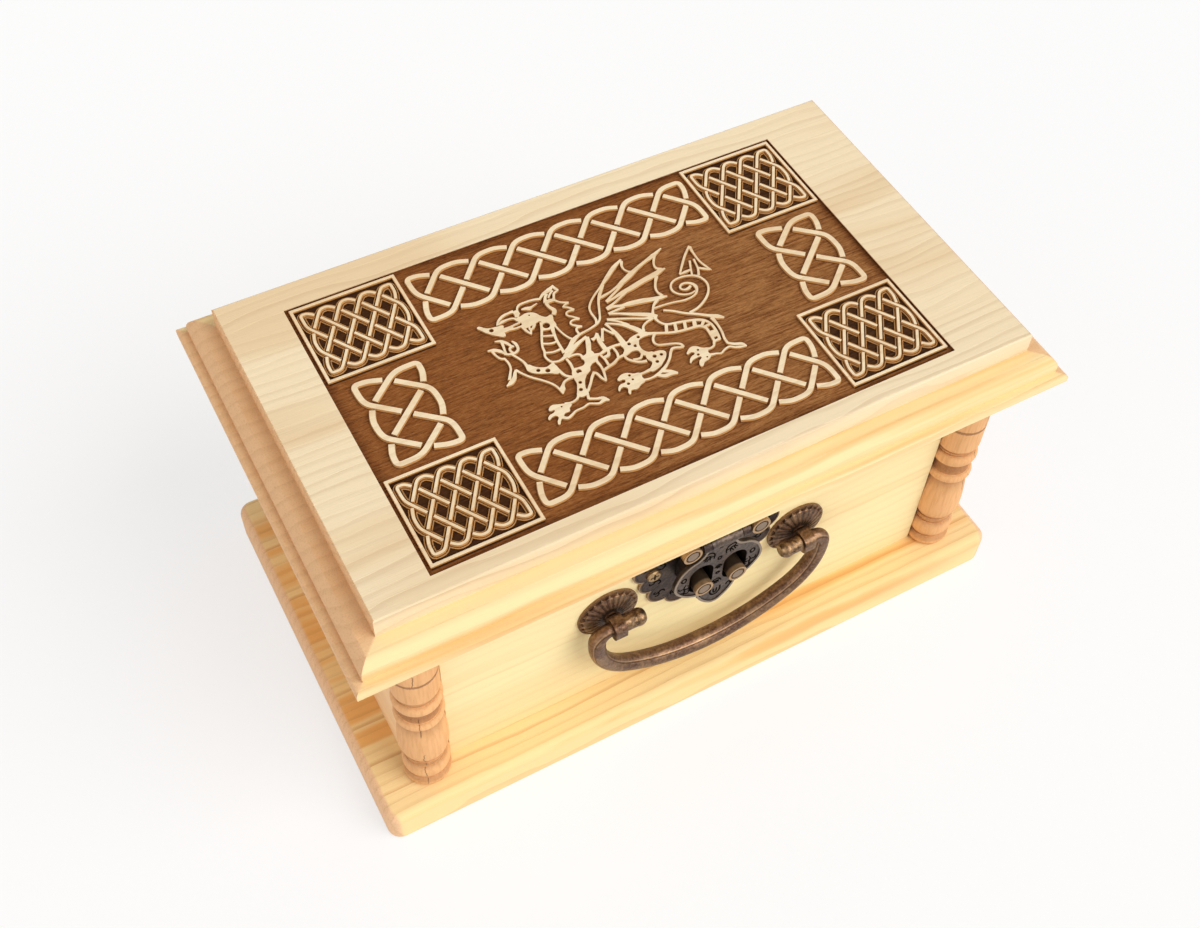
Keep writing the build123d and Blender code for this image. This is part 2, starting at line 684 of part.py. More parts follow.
def hinge_leaf(x, up, knuckles, screws):
    """A cranked leaf that stands above (1) or below (-1) the closing level."""
    pivot = (hinge_stand_off, 0)
    arm_height = up * (resting_gap + hinge_leaf_thickness / 2)
    with BuildPart() as leaf:
        with BuildSketch(hinge_side_plane(x - hinge_width / 2)):
            with Locations((hinge_leaf_thickness / 2, up * (resting_gap + hinge_flange_height / 2))):
                Rectangle(hinge_leaf_thickness, hinge_flange_height)
            with Locations((hinge_arm / 2, arm_height)):
                Rectangle(hinge_arm, hinge_leaf_thickness)
        extrude(amount=hinge_width)
        for start, length in knuckles:
            with BuildSketch(hinge_side_plane(x + start)):
                with Locations(pivot):
                    Circle(hinge_knuckle_radius)
                with Locations((hinge_stand_off / 2, arm_height)):
                    Rectangle(hinge_stand_off, hinge_leaf_thickness)
            extrude(amount=length)
        with BuildSketch(hinge_side_plane(x - hinge_width / 2)):
            with Locations(pivot):
                Circle(hinge_pin_radius + running_clearance)
        extrude(amount=hinge_width, mode=Mode.SUBTRACT)
        near_screws = [(centre, height) for centre, height in screws if abs(-centre - x) < hinge_width / 2]
        bore(back_plane.offset(hinge_leaf_thickness), near_screws, screw_hole_radius, hinge_leaf_thickness)
    return leaf


outer_knuckles = [(-hinge_width / 2, outer_knuckle_length), (outer_knuckle_start, outer_knuckle_length)]
middle_knuckle = [(-hinge_middle_knuckle / 2, hinge_middle_knuckle)]
for side_name, side in sides.items():
    save(hinge_leaf(side * hinge_x, -1, outer_knuckles, body_hinge_screws), f"hinge_body_leaf_{side_name}")
    save(hinge_leaf(side * hinge_x, 1, middle_knuckle, hinge_screws), f"hinge_lid_leaf_{side_name}")
save(pan_screws(back_plane.offset(hinge_leaf_thickness), body_hinge_screws), "hinge_body_screws")
save(pan_screws(back_plane.offset(hinge_leaf_thickness), hinge_screws), "hinge_lid_screws")

with BuildPart() as hinge_pins:
    for side in sides.values():
        with BuildSketch(hinge_side_plane(side * hinge_x - hinge_width / 2 - hinge_pin_end)):
            with Locations((hinge_stand_off, 0)):
                Circle(hinge_pin_radius)
        extrude(amount=hinge_width + 2 * hinge_pin_end)
save(hinge_pins, "hinge_pins")
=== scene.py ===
"""Looks of the keepsake box: pine boards, a carved lid panel, turned columns and cast bronze fittings.

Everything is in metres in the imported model's frame, with +Z up and the box's front towards -Y. Sizes that
a person would measure with a rule are written in millimetres and brought to metres by the helpers below.
"""

from __future__ import annotations

import logging
import math
from contextlib import contextmanager
from dataclasses import dataclass
from enum import Enum
from typing import Callable, Iterable, Iterator, Sequence

import bpy
from mathutils import Matrix, Vector


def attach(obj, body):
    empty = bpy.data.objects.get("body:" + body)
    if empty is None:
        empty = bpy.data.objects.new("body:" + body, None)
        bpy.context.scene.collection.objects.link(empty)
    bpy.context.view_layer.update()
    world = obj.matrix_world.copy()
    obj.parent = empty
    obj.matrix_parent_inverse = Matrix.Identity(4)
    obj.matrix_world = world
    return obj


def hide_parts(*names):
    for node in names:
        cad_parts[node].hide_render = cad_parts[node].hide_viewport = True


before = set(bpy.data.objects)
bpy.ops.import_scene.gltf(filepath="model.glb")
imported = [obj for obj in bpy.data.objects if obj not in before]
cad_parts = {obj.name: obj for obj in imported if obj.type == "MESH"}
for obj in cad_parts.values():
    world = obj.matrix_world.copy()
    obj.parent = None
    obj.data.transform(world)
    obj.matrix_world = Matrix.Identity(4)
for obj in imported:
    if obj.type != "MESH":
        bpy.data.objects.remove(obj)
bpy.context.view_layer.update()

MM = 0.001
LOG = logging.getLogger("keepsake_box")

Colour = tuple[float, float, float]
Point = tuple[float, float]


# ---------------------------------------------------------------- shader helpers


class Value:
    """One socket of a finish, which takes part in sums; each sum adds its Math node."""

    def __init__(self, graph: "Graph", socket: bpy.types.NodeSocket) -> None:
        """Holds a socket and the graph it belongs to."""
        self.graph = graph
        self.socket = socket

    def _math(self, operation: str, *inputs: "Value | float") -> "Value":
        """Adds a Math node over the inputs and gives its result."""
        return Value(
            self.graph, self.graph.node("ShaderNodeMath", {"operation": operation}, inputs).outputs[0])

    def __add__(self, other: "Value | float") -> "Value":
        """This plus other."""
        return self._math("ADD", self, other)

    def __radd__(self, other: float) -> "Value":
        """Other plus this."""
        return self._math("ADD", other, self)

    def __sub__(self, other: "Value | float") -> "Value":
        """This less other."""
        return self._math("SUBTRACT", self, other)

    def __rsub__(self, other: float) -> "Value":
        """Other less this."""
        return self._math("SUBTRACT", other, self)

    def __mul__(self, other: "Value | float") -> "Value":
        """This times other."""
        return self._math("MULTIPLY", self, other)

    def __rmul__(self, other: float) -> "Value":
        """Other times this."""
        return self._math("MULTIPLY", other, self)

    def __truediv__(self, other: "Value | float") -> "Value":
        """This over other."""
        return self._math("DIVIDE", self, other)

    def __pow__(self, power: float) -> "Value":
        """This raised to a power."""
        return self._math("POWER", self, power)

    def __abs__(self) -> "Value":
        """This without its sign."""
        return self._math("ABSOLUTE", self)

    def fraction(self) -> "Value":
        """What is left of this above the whole number below it."""
        return self._math("FRACT", self)

    def whole(self) -> "Value":
        """The whole number at or below this."""
        return self._math("FLOOR", self)

    def root(self) -> "Value":
        """The square root of this."""
        return self._math("SQRT", self)

    def wave(self) -> "Value":
        """The sine of this."""
        return self._math("SINE", self)

    def least(self, other: "Value | float") -> "Value":
        """The smaller of this and other."""
        return self._math("MINIMUM", self, other)

    def most(self, other: "Value | float") -> "Value":
        """The larger of this and other."""
        return self._math("MAXIMUM", self, other)

    def rise(self, start: float, end: float) -> "Value":
        """A smooth step, 0 where this is at start and 1 where it is at end.

        Args:
            start: the value at which the step begins.
            end: the value at which it is complete; below start, the step falls.

        Returns:
            The step, from 0 to 1.
        """
        settings = {"interpolation_type": "SMOOTHSTEP", "clamp": True}
        low, high = (start, end) if start < end else (end, start)
        step = Value(
            self.graph,
            self.graph.node("ShaderNodeMapRange", settings, (self, low, high, 0.0, 1.0)).outputs[0])
        return step if start < end else 1.0 - step


class Graph:
    """The node graph of one finish."""

    def __init__(self, name: str) -> None:
        """Starts an empty material with its surface shader.

        Args:
            name: the material's name.
        """
        self.material = bpy.data.materials.new(name)
        self.material.use_nodes = True
        self.tree = self.material.node_tree
        self.tree.nodes.clear()
        self.output = self.tree.nodes.new("ShaderNodeOutputMaterial")
        self.shader = self.tree.nodes.new("ShaderNodeBsdfPrincipled")
        self.tree.links.new(self.shader.outputs[0], self.output.inputs["Surface"])

    def node(
        self,
        kind: str,
        settings: dict[str, object] | None = None,
        inputs: Sequence[object] | dict[str, object] = ()
    ) -> bpy.types.Node:
        """Adds a node.

        Args:
            kind: the node's type.
            settings: its properties, set before its sockets.
            inputs: values or links for its sockets, in order or by name.

        Returns:
            The node.
        """
        node = self.tree.nodes.new(kind)
        for key, value in (settings or {}).items():
            setattr(node, key, value)
        named = inputs.items() if isinstance(inputs, dict) else enumerate(inputs)
        for key, value in named:
            self.feed(node.inputs[key], value)
        return node

    def feed(self, socket: bpy.types.NodeSocket, value: object) -> None:
        """Links a value or another socket to a socket, or sets its number.

        Args:
            socket: the socket to feed.
            value: a Value, a socket, a number, a colour or a vector.
        """
        if isinstance(value, Value):
            value = value.socket
        if isinstance(value, bpy.types.NodeSocket):
            self.tree.links.new(value, socket)
        elif isinstance(value, tuple) and socket.type == "RGBA":
            socket.default_value = (*value, 1.0)
        else:
            socket.default_value = value

    def place(self) -> tuple[Value, Value, Value]:
        """The point being shaded, as x, y and z in millimetres in the box's frame.

        Returns:
            The three parts of the place.
        """
        point = self.node("ShaderNodeTexCoord").outputs["Object"]
        scaled = self.node("ShaderNodeVectorMath", {"operation": "SCALE"}, {"Vector": point, "Scale": 1 / MM})
        split = self.node("ShaderNodeSeparateXYZ", inputs=(scaled.outputs[0],))
        x, y, z = (Value(self, socket) for socket in split.outputs)
        return x, y, z

    def facing(self) -> tuple[Value, Value, Value]:
        """The surface's own normal, as x, y and z in the piece's frame.

        Returns:
            The three parts of the normal.
        """
        normal = self.node("ShaderNodeTexCoord").outputs["Normal"]
        split = self.node("ShaderNodeSeparateXYZ", inputs=(normal,))
        x, y, z = (Value(self, socket) for socket in split.outputs)
        return x, y, z

    def vector(self, x: Value | float, y: Value | float, z: Value | float) -> bpy.types.NodeSocket:
        """Joins three values into a vector."""
        return self.node("ShaderNodeCombineXYZ", inputs=(x, y, z)).outputs[0]

    def noise(
        self, at: tuple[Value | float, ...], scale: float = 1.0, detail: float = 2.0, roughness: float = 0.5
    ) -> Value:
        """Smooth noise.

        Args:
            at: the point it is read at, as three values.
            scale: how many lumps there are in one unit.
            detail: how many finer layers it has.
            roughness: how strong the finer layers are.

        Returns:
            The noise, about 0.5 on average.
        """
        inputs = {"Vector": self.vector(*at), "Scale": scale, "Detail": detail, "Roughness": roughness}
        return Value(self, self.node("ShaderNodeTexNoise", {"noise_dimensions": "3D"}, inputs).outputs[0])

    def lottery(self, number: Value, seed: float) -> Value:
        """A random value from 0 to 1 for each whole number.

        Args:
            number: the whole number.
            seed: what makes one draw differ from another.

        Returns:
            The value drawn for it.
        """
        inputs = {"W": number + seed}
        return Value(
            self, self.node("ShaderNodeTexWhiteNoise", {"noise_dimensions": "1D"}, inputs).outputs["Value"])

    def mix(self, share: Value | float, first: object, second: object) -> bpy.types.NodeSocket:
        """Mixes two colours.

        Args:
            share: how much of the second colour shows, from 0 to 1.
            first: a colour or a colour socket.
            second: a colour or a colour socket.

        Returns:
            The mixed colour's socket.
        """
        node = self.tree.nodes.new("ShaderNodeMix")
        node.data_type = "RGBA"
        self.feed(node.inputs["Factor"], share)
        self.feed(node.inputs[6], first)
        self.feed(node.inputs[7], second)
        return node.outputs[2]

    def dress(
        self, colour: object, roughness: Value | float, height: Value | None = None, relief: float = 0.0,
        metallic: Value | float = 0.0, specular: float = 0.5
    ) -> bpy.types.Material:
        """Feeds the shader and gives the finished material.

        Args:
            colour: the base colour.
            roughness: how matt the surface is.
            height: the surface's fine relief, from 0 to 1.
            relief: how deep that relief is in millimetres.
            metallic: 1 for bare metal.
            specular: the strength of the gloss.

        Returns:
            The material.
        """
        self.feed(self.shader.inputs["Base Color"], colour)
        self.feed(self.shader.inputs["Roughness"], roughness)
        self.feed(self.shader.inputs["Metallic"], metallic)
        self.shader.inputs["Specular IOR Level"].default_value = specular
        if height is not None:
            inputs = {"Strength": 1.0, "Distance": relief * MM, "Height": height}
            self.feed(self.shader.inputs["Normal"], self.node("ShaderNodeBump", inputs=inputs).outputs[0])
        return self.material


# ---------------------------------------------------------------- wood finishes


class Grain(Enum):
    """The way the wood's fibres run."""

    LENGTH = 0
    DEPTH = 1


@dataclass(frozen=True)
class WoodLook:
    """What a wood pattern gives to a finish: its colour and its fine relief."""

    colour: bpy.types.NodeSocket
    height: Value


@dataclass(frozen=True)
class Board:
    """Planed softwood sawn from a log, with rings round a heart line that runs along the grain.

    The heart is given across the grain, in millimetres, and may lie outside the board.
    """

    name: str
    grain: Grain = Grain.LENGTH
    heart: Point = (30.0, -60.0)
    ring: float = 4.6
    wander: float = 6.0
    pale: Colour = (0.93, 0.73, 0.39)
    band: Colour = (0.70, 0.37, 0.13)
    band_share: float = 0.55
    warm: Colour = (0.85, 0.50, 0.18)
    warm_share: float = 0.5
    warm_reach: float = 14.0
    fibre_share: float = 0.12
    end_pale: Colour = (0.84, 0.52, 0.28)
    end_band: Colour = (0.56, 0.31, 0.14)
    end_from: float = 1000.0
    mitre: float = 0.0
    seed: float = 0.0

    def split(self, parts: tuple[Value, Value, Value]) -> tuple[Value, Value, Value]:
        """Puts the part along the grain first and the two across it after it.

        Args:
            parts: the x, y and z parts of a place or a normal.

        Returns:
            The part along the grain, then the two across it.
        """
        along = parts[self.grain.value]
        across = [part for index, part in enumerate(parts) if index != self.grain.value]
        return along, across[0], across[1]

    def look(self, graph: Graph) -> WoodLook:
        """Draws rings, fibres and end grain.

        Args:
            graph: the graph to draw in.

        Returns:
            The wood's colour and relief.
        """
        along, side, rise = self.split(graph.place())
        shifted = along + self.seed
        drift = graph.noise((shifted * 0.009, side * 0.03, rise * 0.03), detail=2.0) - 0.5
        tremble = graph.noise((shifted * 0.04, side * 0.25, rise * 0.25), detail=2.0) - 0.5
        off_side, off_rise = side - self.heart[0], rise - self.heart[1]
        radius = (
            (off_side * off_side + off_rise * off_rise).root() + drift * (2 * self.wander) + tremble * 1.6)
        turn = radius / self.ring
        part = turn.fraction()
        late = part.rise(0.48, 0.92) * part.rise(1.0, 0.94)
        chance = graph.lottery(turn.whole(), self.seed)
        strength = chance * chance * 0.65 + 0.2
        zone = graph.noise((radius / self.warm_reach, shifted * 0.004, self.seed), detail=2.0)
        fibre = graph.noise((shifted * 0.03, side * 2.2, rise * 2.2), detail=4.0, roughness=0.65)
        fine = graph.noise((shifted * 0.012, side * 5.0, rise * 5.0), detail=2.0, roughness=0.6)
        toned = graph.mix(zone.rise(0.46, 0.66) * self.warm_share, self.pale, self.warm)
        ringed = graph.mix(late * strength * self.band_share, toned, self.band)
        hairs = (fibre.rise(0.5, 0.85) + fine.rise(0.55, 0.8)) * self.fibre_share
        worn = graph.mix(hairs, ringed, self.band)
        pore = graph.noise((shifted * 1.4, side * 1.4, rise * 1.4), detail=3.0, roughness=0.7)
        end_rings = graph.mix(late * 0.18 + pore.rise(0.46, 0.75) * 0.4, self.end_pale, self.end_band)
        end_face = abs(self.split(graph.facing())[0]).rise(0.12, 0.45)
        milled = (
            (abs(along) - abs(side) - self.mitre).rise(-0.8, 0.8)
            * abs(along).rise(self.end_from, self.end_from + 4))
        end_face = end_face.most(milled * 0.85)
        colour = graph.mix(end_face, worn, end_rings)
        height = fibre * 0.5 + pore * end_face * 0.9 - late * 0.3
        return WoodLook(colour, height)

    def material(self) -> bpy.types.Material:
        """The board's finished material.

        Returns:
            The material.
        """
        graph = Graph(self.name)
        look = self.look(graph)
        return graph.dress(look.colour, 0.62, look.height, relief=0.25, specular=0.25)


@dataclass(frozen=True)
class CarvedPanel(Board):
    """The lid's panel, whose sunk field is scorched brown, darkest round the knots of its corner tiles, and
    lightened towards the right and front by painted highlight, with pale painted highlight flecks.
    """

    scorch: Colour = (0.325, 0.113, 0.029)
    scorch_dark: Colour = (0.095, 0.029, 0.008)
    # colour of the painted highlight that lightens the field, also used for its painted highlight flecks
    painted_sheen: Colour = (0.57, 0.31, 0.120)
    tile_ground: Colour = (0.020, 0.008, 0.004)

    def material(self) -> bpy.types.Material:
        """The panel's finished material.

        Returns:
            The material.
        """
        graph = Graph(self.name)
        look = self.look(graph)
        x, y, z = graph.place()
        layout = FIELD
        across, down = abs(x - layout.middle[0]), abs(y - layout.middle[1])
        low = z.rise(layout.top - 0.1, layout.top - 0.6)
        inside = across.rise(layout.half_length + 0.3, layout.half_length + 0.1)
        inside = inside * down.rise(layout.half_depth + 0.3, layout.half_depth + 0.1)
        streak = graph.noise((x * 0.07, y * 1.1, z * 0.5), detail=6.0, roughness=0.8)
        fleck = graph.noise((x * 0.45, y * 3.0, z), detail=4.0, roughness=0.75)
        cloud = graph.noise((x * 0.018, y * 0.03, z * 0.02), detail=2.0)
        edge = (across.rise(layout.half_length - 5, layout.half_length)).most(
            down.rise(layout.half_depth - 5, layout.half_depth))
        tile_x, tile_y = across - layout.tile_place[0], down - layout.tile_place[1]
        tile = abs(tile_x).rise(layout.tile_half[0], layout.tile_half[0] - 0.6)
        tile = tile * abs(tile_y).rise(layout.tile_half[1], layout.tile_half[1] - 0.6)
        # painted highlight: the field is lightened towards the right and front, less near its border
        painted_sheen_share = (x * 0.006 - y * 0.004 + cloud * 1.1 - 0.25).rise(0.05, 0.75) * (1.0 - edge * 0.7)
        ground = graph.mix(painted_sheen_share * streak.rise(0.70, 0.38) * 0.35, self.scorch, self.painted_sheen)
        dark = streak.rise(0.45, 0.60) * 0.5 + fleck.rise(0.50, 0.62) * 0.4 + edge * 0.4
        # painted highlight: pale flecks in the same painted colour
        bright = fleck.rise(0.47, 0.38) * 0.28 * (1.0 - edge)
        burnt = graph.mix(dark.least(1.0), graph.mix(bright, ground, self.painted_sheen), self.scorch_dark)
        burnt = graph.mix(tile * (0.72 + 0.26 * streak), burnt, self.tile_ground)
        colour = graph.mix(inside * low, look.colour, burnt)
        height = look.height + (streak + fleck * 0.5) * inside * low * 1.5
        roughness = 0.65 - inside * low * (0.1 - tile * 0.1)
        return graph.dress(colour, roughness, height, relief=0.3, specular=0.05)


@dataclass(frozen=True)
class CarvedRelief(Board):
    """Ribbons left standing in the field: pale on top, amber on their shoulders and scorched at the foot."""

    amber: Colour = (0.62, 0.31, 0.10)
    scorch: Colour = (0.13, 0.045, 0.014)

    def material(self) -> bpy.types.Material:
        """The relief's finished material.

        Returns:
            The material.
        """
        graph = Graph(self.name)
        look = self.look(graph)
        x, y, z = graph.place()
        up = graph.facing()[2]
        smoke = graph.noise((x * 0.5, y * 0.5, z * 0.5), detail=3.0)
        shoulder = graph.mix(z.rise(FIELD.top - 1.1, FIELD.top - 0.5), self.scorch, self.amber)
        top = z.rise(FIELD.top - 0.30, FIELD.top - 0.04) * up.rise(0.3, 0.9)
        tinted = graph.mix(smoke.rise(0.45, 0.8) * 0.16, look.colour, self.amber)
        return graph.dress(graph.mix(top, shoulder, tinted), 0.6, look.height, relief=0.2, specular=0.25)


@dataclass(frozen=True)
class TurnedWood:
    """Turned hardwood columns, pinkish, with short upright checks, faint marks of the gouge, grooves darkened
    with grime and painted shade, and painted shade under the beads.
    """

    name: str = "turned_columns"
    pale: Colour = (0.83, 0.465, 0.215)
    dark: Colour = (0.64, 0.31, 0.12)
    # colour of the grime and painted shade in the grooves and of the painted shade under the beads
    groove_grime_and_shade: Colour = (0.30, 0.115, 0.040)
    check: Colour = (0.14, 0.048, 0.016)
    axis: Point = (126.8, 71.6)
    # radii at which the grime and painted shade of the grooves begin and are full
    groove_depth: Point = (9.9, 7.6)
    # heights of the bands of painted shade under the beads
    undercuts: tuple[Point, ...] = ((61.5, 66.6), (20.6, 23.5))
    parting: float = 102.0

    def material(self) -> bpy.types.Material:
        """The columns' finished material.

        Returns:
            The material.
        """
        graph = Graph(self.name)
        x, y, z = graph.place()
        side, depth = abs(x) - self.axis[0], abs(y) - self.axis[1]
        reach = (side * side + depth * depth).root()
        fibre = graph.noise((x * 0.9, y * 0.9, z * 0.07), detail=4.0, roughness=0.6)
        wobble = graph.noise((x * 0.02, y * 0.02, z * 0.35), detail=3.0) - 0.5
        fuzz = graph.noise((x * 1.6, y * 1.6, z * 1.6), detail=3.0, roughness=0.7)
        gouge = graph.noise((x * 0.02, y * 0.02, z * 2.4), detail=1.0)
        colour = graph.mix(fibre.rise(0.35, 0.75) * 0.6, self.pale, self.dark)
        turned = abs(graph.facing()[2]).rise(0.99, 0.9)
        # grime and painted shade darken the grooves and necks, where the radius is small
        sunk = reach.rise(*self.groove_depth)
        # painted shade: bands darkened just under the overhanging beads
        for foot, head in self.undercuts:
            sunk = sunk.most(z.rise(foot, head - 1.2) * z.rise(head + 0.6, head) * 0.55)
        cracks = abs(side * 0.93 - depth * 0.37 + wobble * 3.0).rise(0.22, 0.06) * depth.rise(-1.0, 0.0)
        cracks = cracks * graph.noise((x * 0.01, y * 0.01, z * 0.09)).rise(0.47, 0.55)
        cracks = cracks.most(abs(z - self.parting + fuzz - 0.5).rise(1.0, 0.4)) * turned
        colour = graph.mix(sunk * turned * (0.5 + fuzz * 0.5).least(1.0), colour, self.groove_grime_and_shade)
        colour = graph.mix(cracks * 0.6, colour, self.check)
        height = fibre * 0.5 - cracks * 1.5 + gouge * 0.5 + fuzz * sunk
        return graph.dress(colour, 0.6, height, relief=0.25, specular=0.2)


# ---------------------------------------------------------------- metal finishes


@dataclass(frozen=True)
class AgedBronze:
    """Cast bronze darkened with age and rubbed to brass where hands and tools reach it."""

    name: str
    dark: Colour = (0.045, 0.026, 0.017)
    brown: Colour = (0.20, 0.105, 0.062)
    brass: Colour = (0.52, 0.33, 0.17)
    rubbed: float = 0.4
    roughness: float = 0.36
    grit: float = 1.0

    def worn(self, graph: Graph) -> tuple[bpy.types.NodeSocket, Value, Value]:
        """Draws the patina.

        Args:
            graph: the graph to draw in.

        Returns:
            The patina's colour, its roughness and its fine relief.
        """
        x, y, z = graph.place()
        patch = graph.noise((x * 0.10, y * 0.10, z * 0.10), detail=3.0, roughness=0.6)
        mottle = graph.noise((x * 0.8, y * 0.8, z * 0.8), detail=4.0, roughness=0.7)
        speck = graph.noise((x * 3.5, y * 3.5, z * 3.5), detail=2.0, roughness=0.6)
        brown = graph.mix(mottle.rise(0.30, 0.66), self.dark, self.brown)
        rub = (patch.rise(0.40, 0.66) * 0.6 + mottle.rise(0.52, 0.75) * 0.4) * self.rubbed
        colour = graph.mix(rub, brown, self.brass)
        colour = graph.mix(speck.rise(0.64, 0.74) * 0.5 * self.grit, colour, self.dark)
        return colour, self.roughness + speck * 0.2 - rub * 0.2, mottle * 0.6 + speck * 0.4

    def material(self) -> bpy.types.Material:
        """The bronze's finished material.

        Returns:
            The material.
        """
        graph = Graph(self.name)
        colour, roughness, height = self.worn(graph)
        return graph.dress(colour, roughness, height, relief=0.1 * self.grit, metallic=0.85)


@dataclass(frozen=True)
class BailBronze(AgedBronze):
    """The drop handle's bronze, smooth from handling, with the mould's parting line along it and a painted
    highlight beside that line.
    """

    seam: Point = (-82.75, -82.45)

    def material(self) -> bpy.types.Material:
        """The handle's finished material.

        Returns:
            The material.
        """
        graph = Graph(self.name)
        colour, roughness, height = self.worn(graph)
        y = graph.place()[1]
        middle, half = sum(self.seam) / 2, (self.seam[1] - self.seam[0]) / 2
        line = abs(y - middle).rise(half, half * 0.4)
        # painted highlight: a brass band along the bow beside the parting line
        bright = abs(y - middle - 3 * half).rise(half * 1.6, half * 0.6)
        colour = graph.mix(line * 0.85, colour, self.dark)
        colour = graph.mix(bright * 0.35, colour, self.brass)
        return graph.dress(colour, roughness, height - line * 1.5, relief=0.15, metallic=0.85)


@dataclass(frozen=True)
class PetalBronze(AgedBronze):
    """A rosette's bronze: petals spread from a hub darkened with dirt and painted shade to a rubbed rim."""

    hub: Point = (0.0, 0.0)
    petals: int = 22

    def material(self) -> bpy.types.Material:
        """The rosette's finished material.

        Returns:
            The material.
        """
        graph = Graph(self.name)
        colour, roughness, height = self.worn(graph)
        x, _, z = graph.place()
        side, rise = x - self.hub[0], z - self.hub[1]
        reach = (side * side + rise * rise).root()
        turn = Value(graph, graph.node("ShaderNodeMath", {"operation": "ARCTAN2"}, (rise, side)).outputs[0])
        flute = abs((turn * (self.petals / 2)).wave())
        spread = reach.rise(4.0, 6.5) * reach.rise(11.9, 11.2)
        valley = flute.rise(0.45, 0.05) * spread
        crest = flute.rise(0.80, 1.0) * spread
        rim = reach.rise(11.8, 12.4)
        colour = graph.mix(crest * 0.18 + rim * 0.25, colour, self.brass)
        # dirt and painted shade darken the hub round the handle's post
        colour = graph.mix(valley * 0.6 + reach.rise(7.0, 4.5) * 0.8, colour, self.dark)
        return graph.dress(colour, roughness, height * 0.3 + flute * spread * 1.2, relief=0.3, metallic=0.85)


@dataclass(frozen=True)
class PlateBronze(AgedBronze):
    """A hasp plate's bronze, near black, with its scalloped edge rubbed to brass.

    The rounds are the discs that the plate's outline is drawn from: distance out, height and radius.
    """

    rounds: tuple[tuple[float, float, float], ...] = ()

    def material(self) -> bpy.types.Material:
        """The plate's finished material.

        Returns:
            The material.
        """
        graph = Graph(self.name)
        colour, roughness, height = self.worn(graph)
        x, _, z = graph.place()
        out = abs(x)
        depths = []
        for place, level, radius in self.rounds:
            side, rise = out - place, z - level
            depths.append(radius - (side * side + rise * rise).root())
        depth = depths[0]
        for other in depths[1:]:
            depth = depth.most(other)
        edge = depth.rise(0.9, 0.35)
        ditch = depth.rise(0.8, 1.1) * depth.rise(1.9, 1.5)
        colour = graph.mix(edge * 0.6, colour, self.brass)
        colour = graph.mix(ditch * 0.3, colour, self.dark)
        return graph.dress(colour, roughness, height * 0.4 - ditch * 0.8, relief=0.25, metallic=0.8)


@dataclass(frozen=True)
class FlapBronze(AgedBronze):
    """The hasp flap's bronze: grey-brown in front, pale on the raised rim and dark in the wells."""

    face_y: float = -81.6
    rim_y: float = -82.1
    rim: Colour = (0.34, 0.27, 0.21)

    def material(self) -> bpy.types.Material:
        """The flap's finished material.

        Returns:
            The material.
        """
        graph = Graph(self.name)
        colour, roughness, height = self.worn(graph)
        y = graph.place()[1]
        forward = graph.facing()[1]
        proud = y.rise(self.face_y - 0.2, self.rim_y + 0.1) * graph.place()[2].rise(108.0, 107.0)
        sunk = y.rise(self.face_y + 0.25, self.face_y + 1.6)
        wall = (1.0 - abs(forward).rise(0.3, 0.7)) * y.rise(self.face_y - 0.05, self.face_y + 0.2)
        colour = graph.mix(proud * 0.8, colour, self.rim)
        colour = graph.mix((sunk + wall).least(1.0) * 0.85, colour, self.dark)
        return graph.dress(colour, roughness, height, relief=0.1, metallic=0.8)


@dataclass(frozen=True)
class KnobBronze(AgedBronze):
    """The hasp's knobs: a brass rim round a greyed face, and painted shade on the stem behind it."""

    out: float = 7.8
    level: float = 84.3
    face_y: float = -84.8
    grey: Colour = (0.27, 0.19, 0.13)

    def material(self) -> bpy.types.Material:
        """The knobs' finished material.

        Returns:
            The material.
        """
        graph = Graph(self.name)
        colour, roughness, height = self.worn(graph)
        x, y, z = graph.place()
        side, rise = abs(x) - self.out, z - self.level
        reach = (side * side + rise * rise).root()
        # painted shade: the stem behind the brass rim, in the lid's shadow, is darkened
        painted_shank_shade = y.rise(self.face_y + 1.6, self.face_y + 2.6)
        middle = reach.rise(2.9, 2.4) * y.rise(self.face_y + 1.0, self.face_y + 0.2)
        ditch = abs(reach - 2.8).rise(0.45, 0.2) * y.rise(self.face_y + 1.0, self.face_y + 0.2)
        rubbed = graph.mix(
            height.rise(0.35, 0.7) * 0.6, self.brass, tuple(0.55 * part for part in self.brass))
        colour = graph.mix(middle, rubbed, self.grey)
        colour = graph.mix((painted_shank_shade + ditch).least(1.0) * 0.9, colour, self.dark)
        return graph.dress(colour, roughness, height, relief=0.12, metallic=0.8)


@dataclass(frozen=True)
class WornBrass:
    """Brass screw heads, bright on top and black in the cross."""

    name: str
    brass: Colour = (0.44, 0.29, 0.14)
    black: Colour = (0.010, 0.008, 0.006)
    face_y: float = 74.2
    sink: float = 0.25

    def material(self) -> bpy.types.Material:
        """The brass's finished material.

        Returns:
            The material.
        """
        graph = Graph(self.name)
        x, y, z = graph.place()
        mottle = graph.noise((x * 0.8, y * 0.8, z * 0.8), detail=4.0, roughness=0.7)
        outward = abs(y)
        floor = outward.rise(self.face_y - self.sink, self.face_y - 2 * self.sink)
        floor = floor * abs(graph.facing()[1]).rise(0.85, 0.95)
        colour = graph.mix(mottle.rise(0.4, 0.7) * 0.5, self.brass, tuple(0.35 * part for part in self.brass))
        colour = graph.mix(floor * 0.95, colour, self.black)
        return graph.dress(colour, 0.36 + mottle * 0.2, mottle, relief=0.08, metallic=0.85)


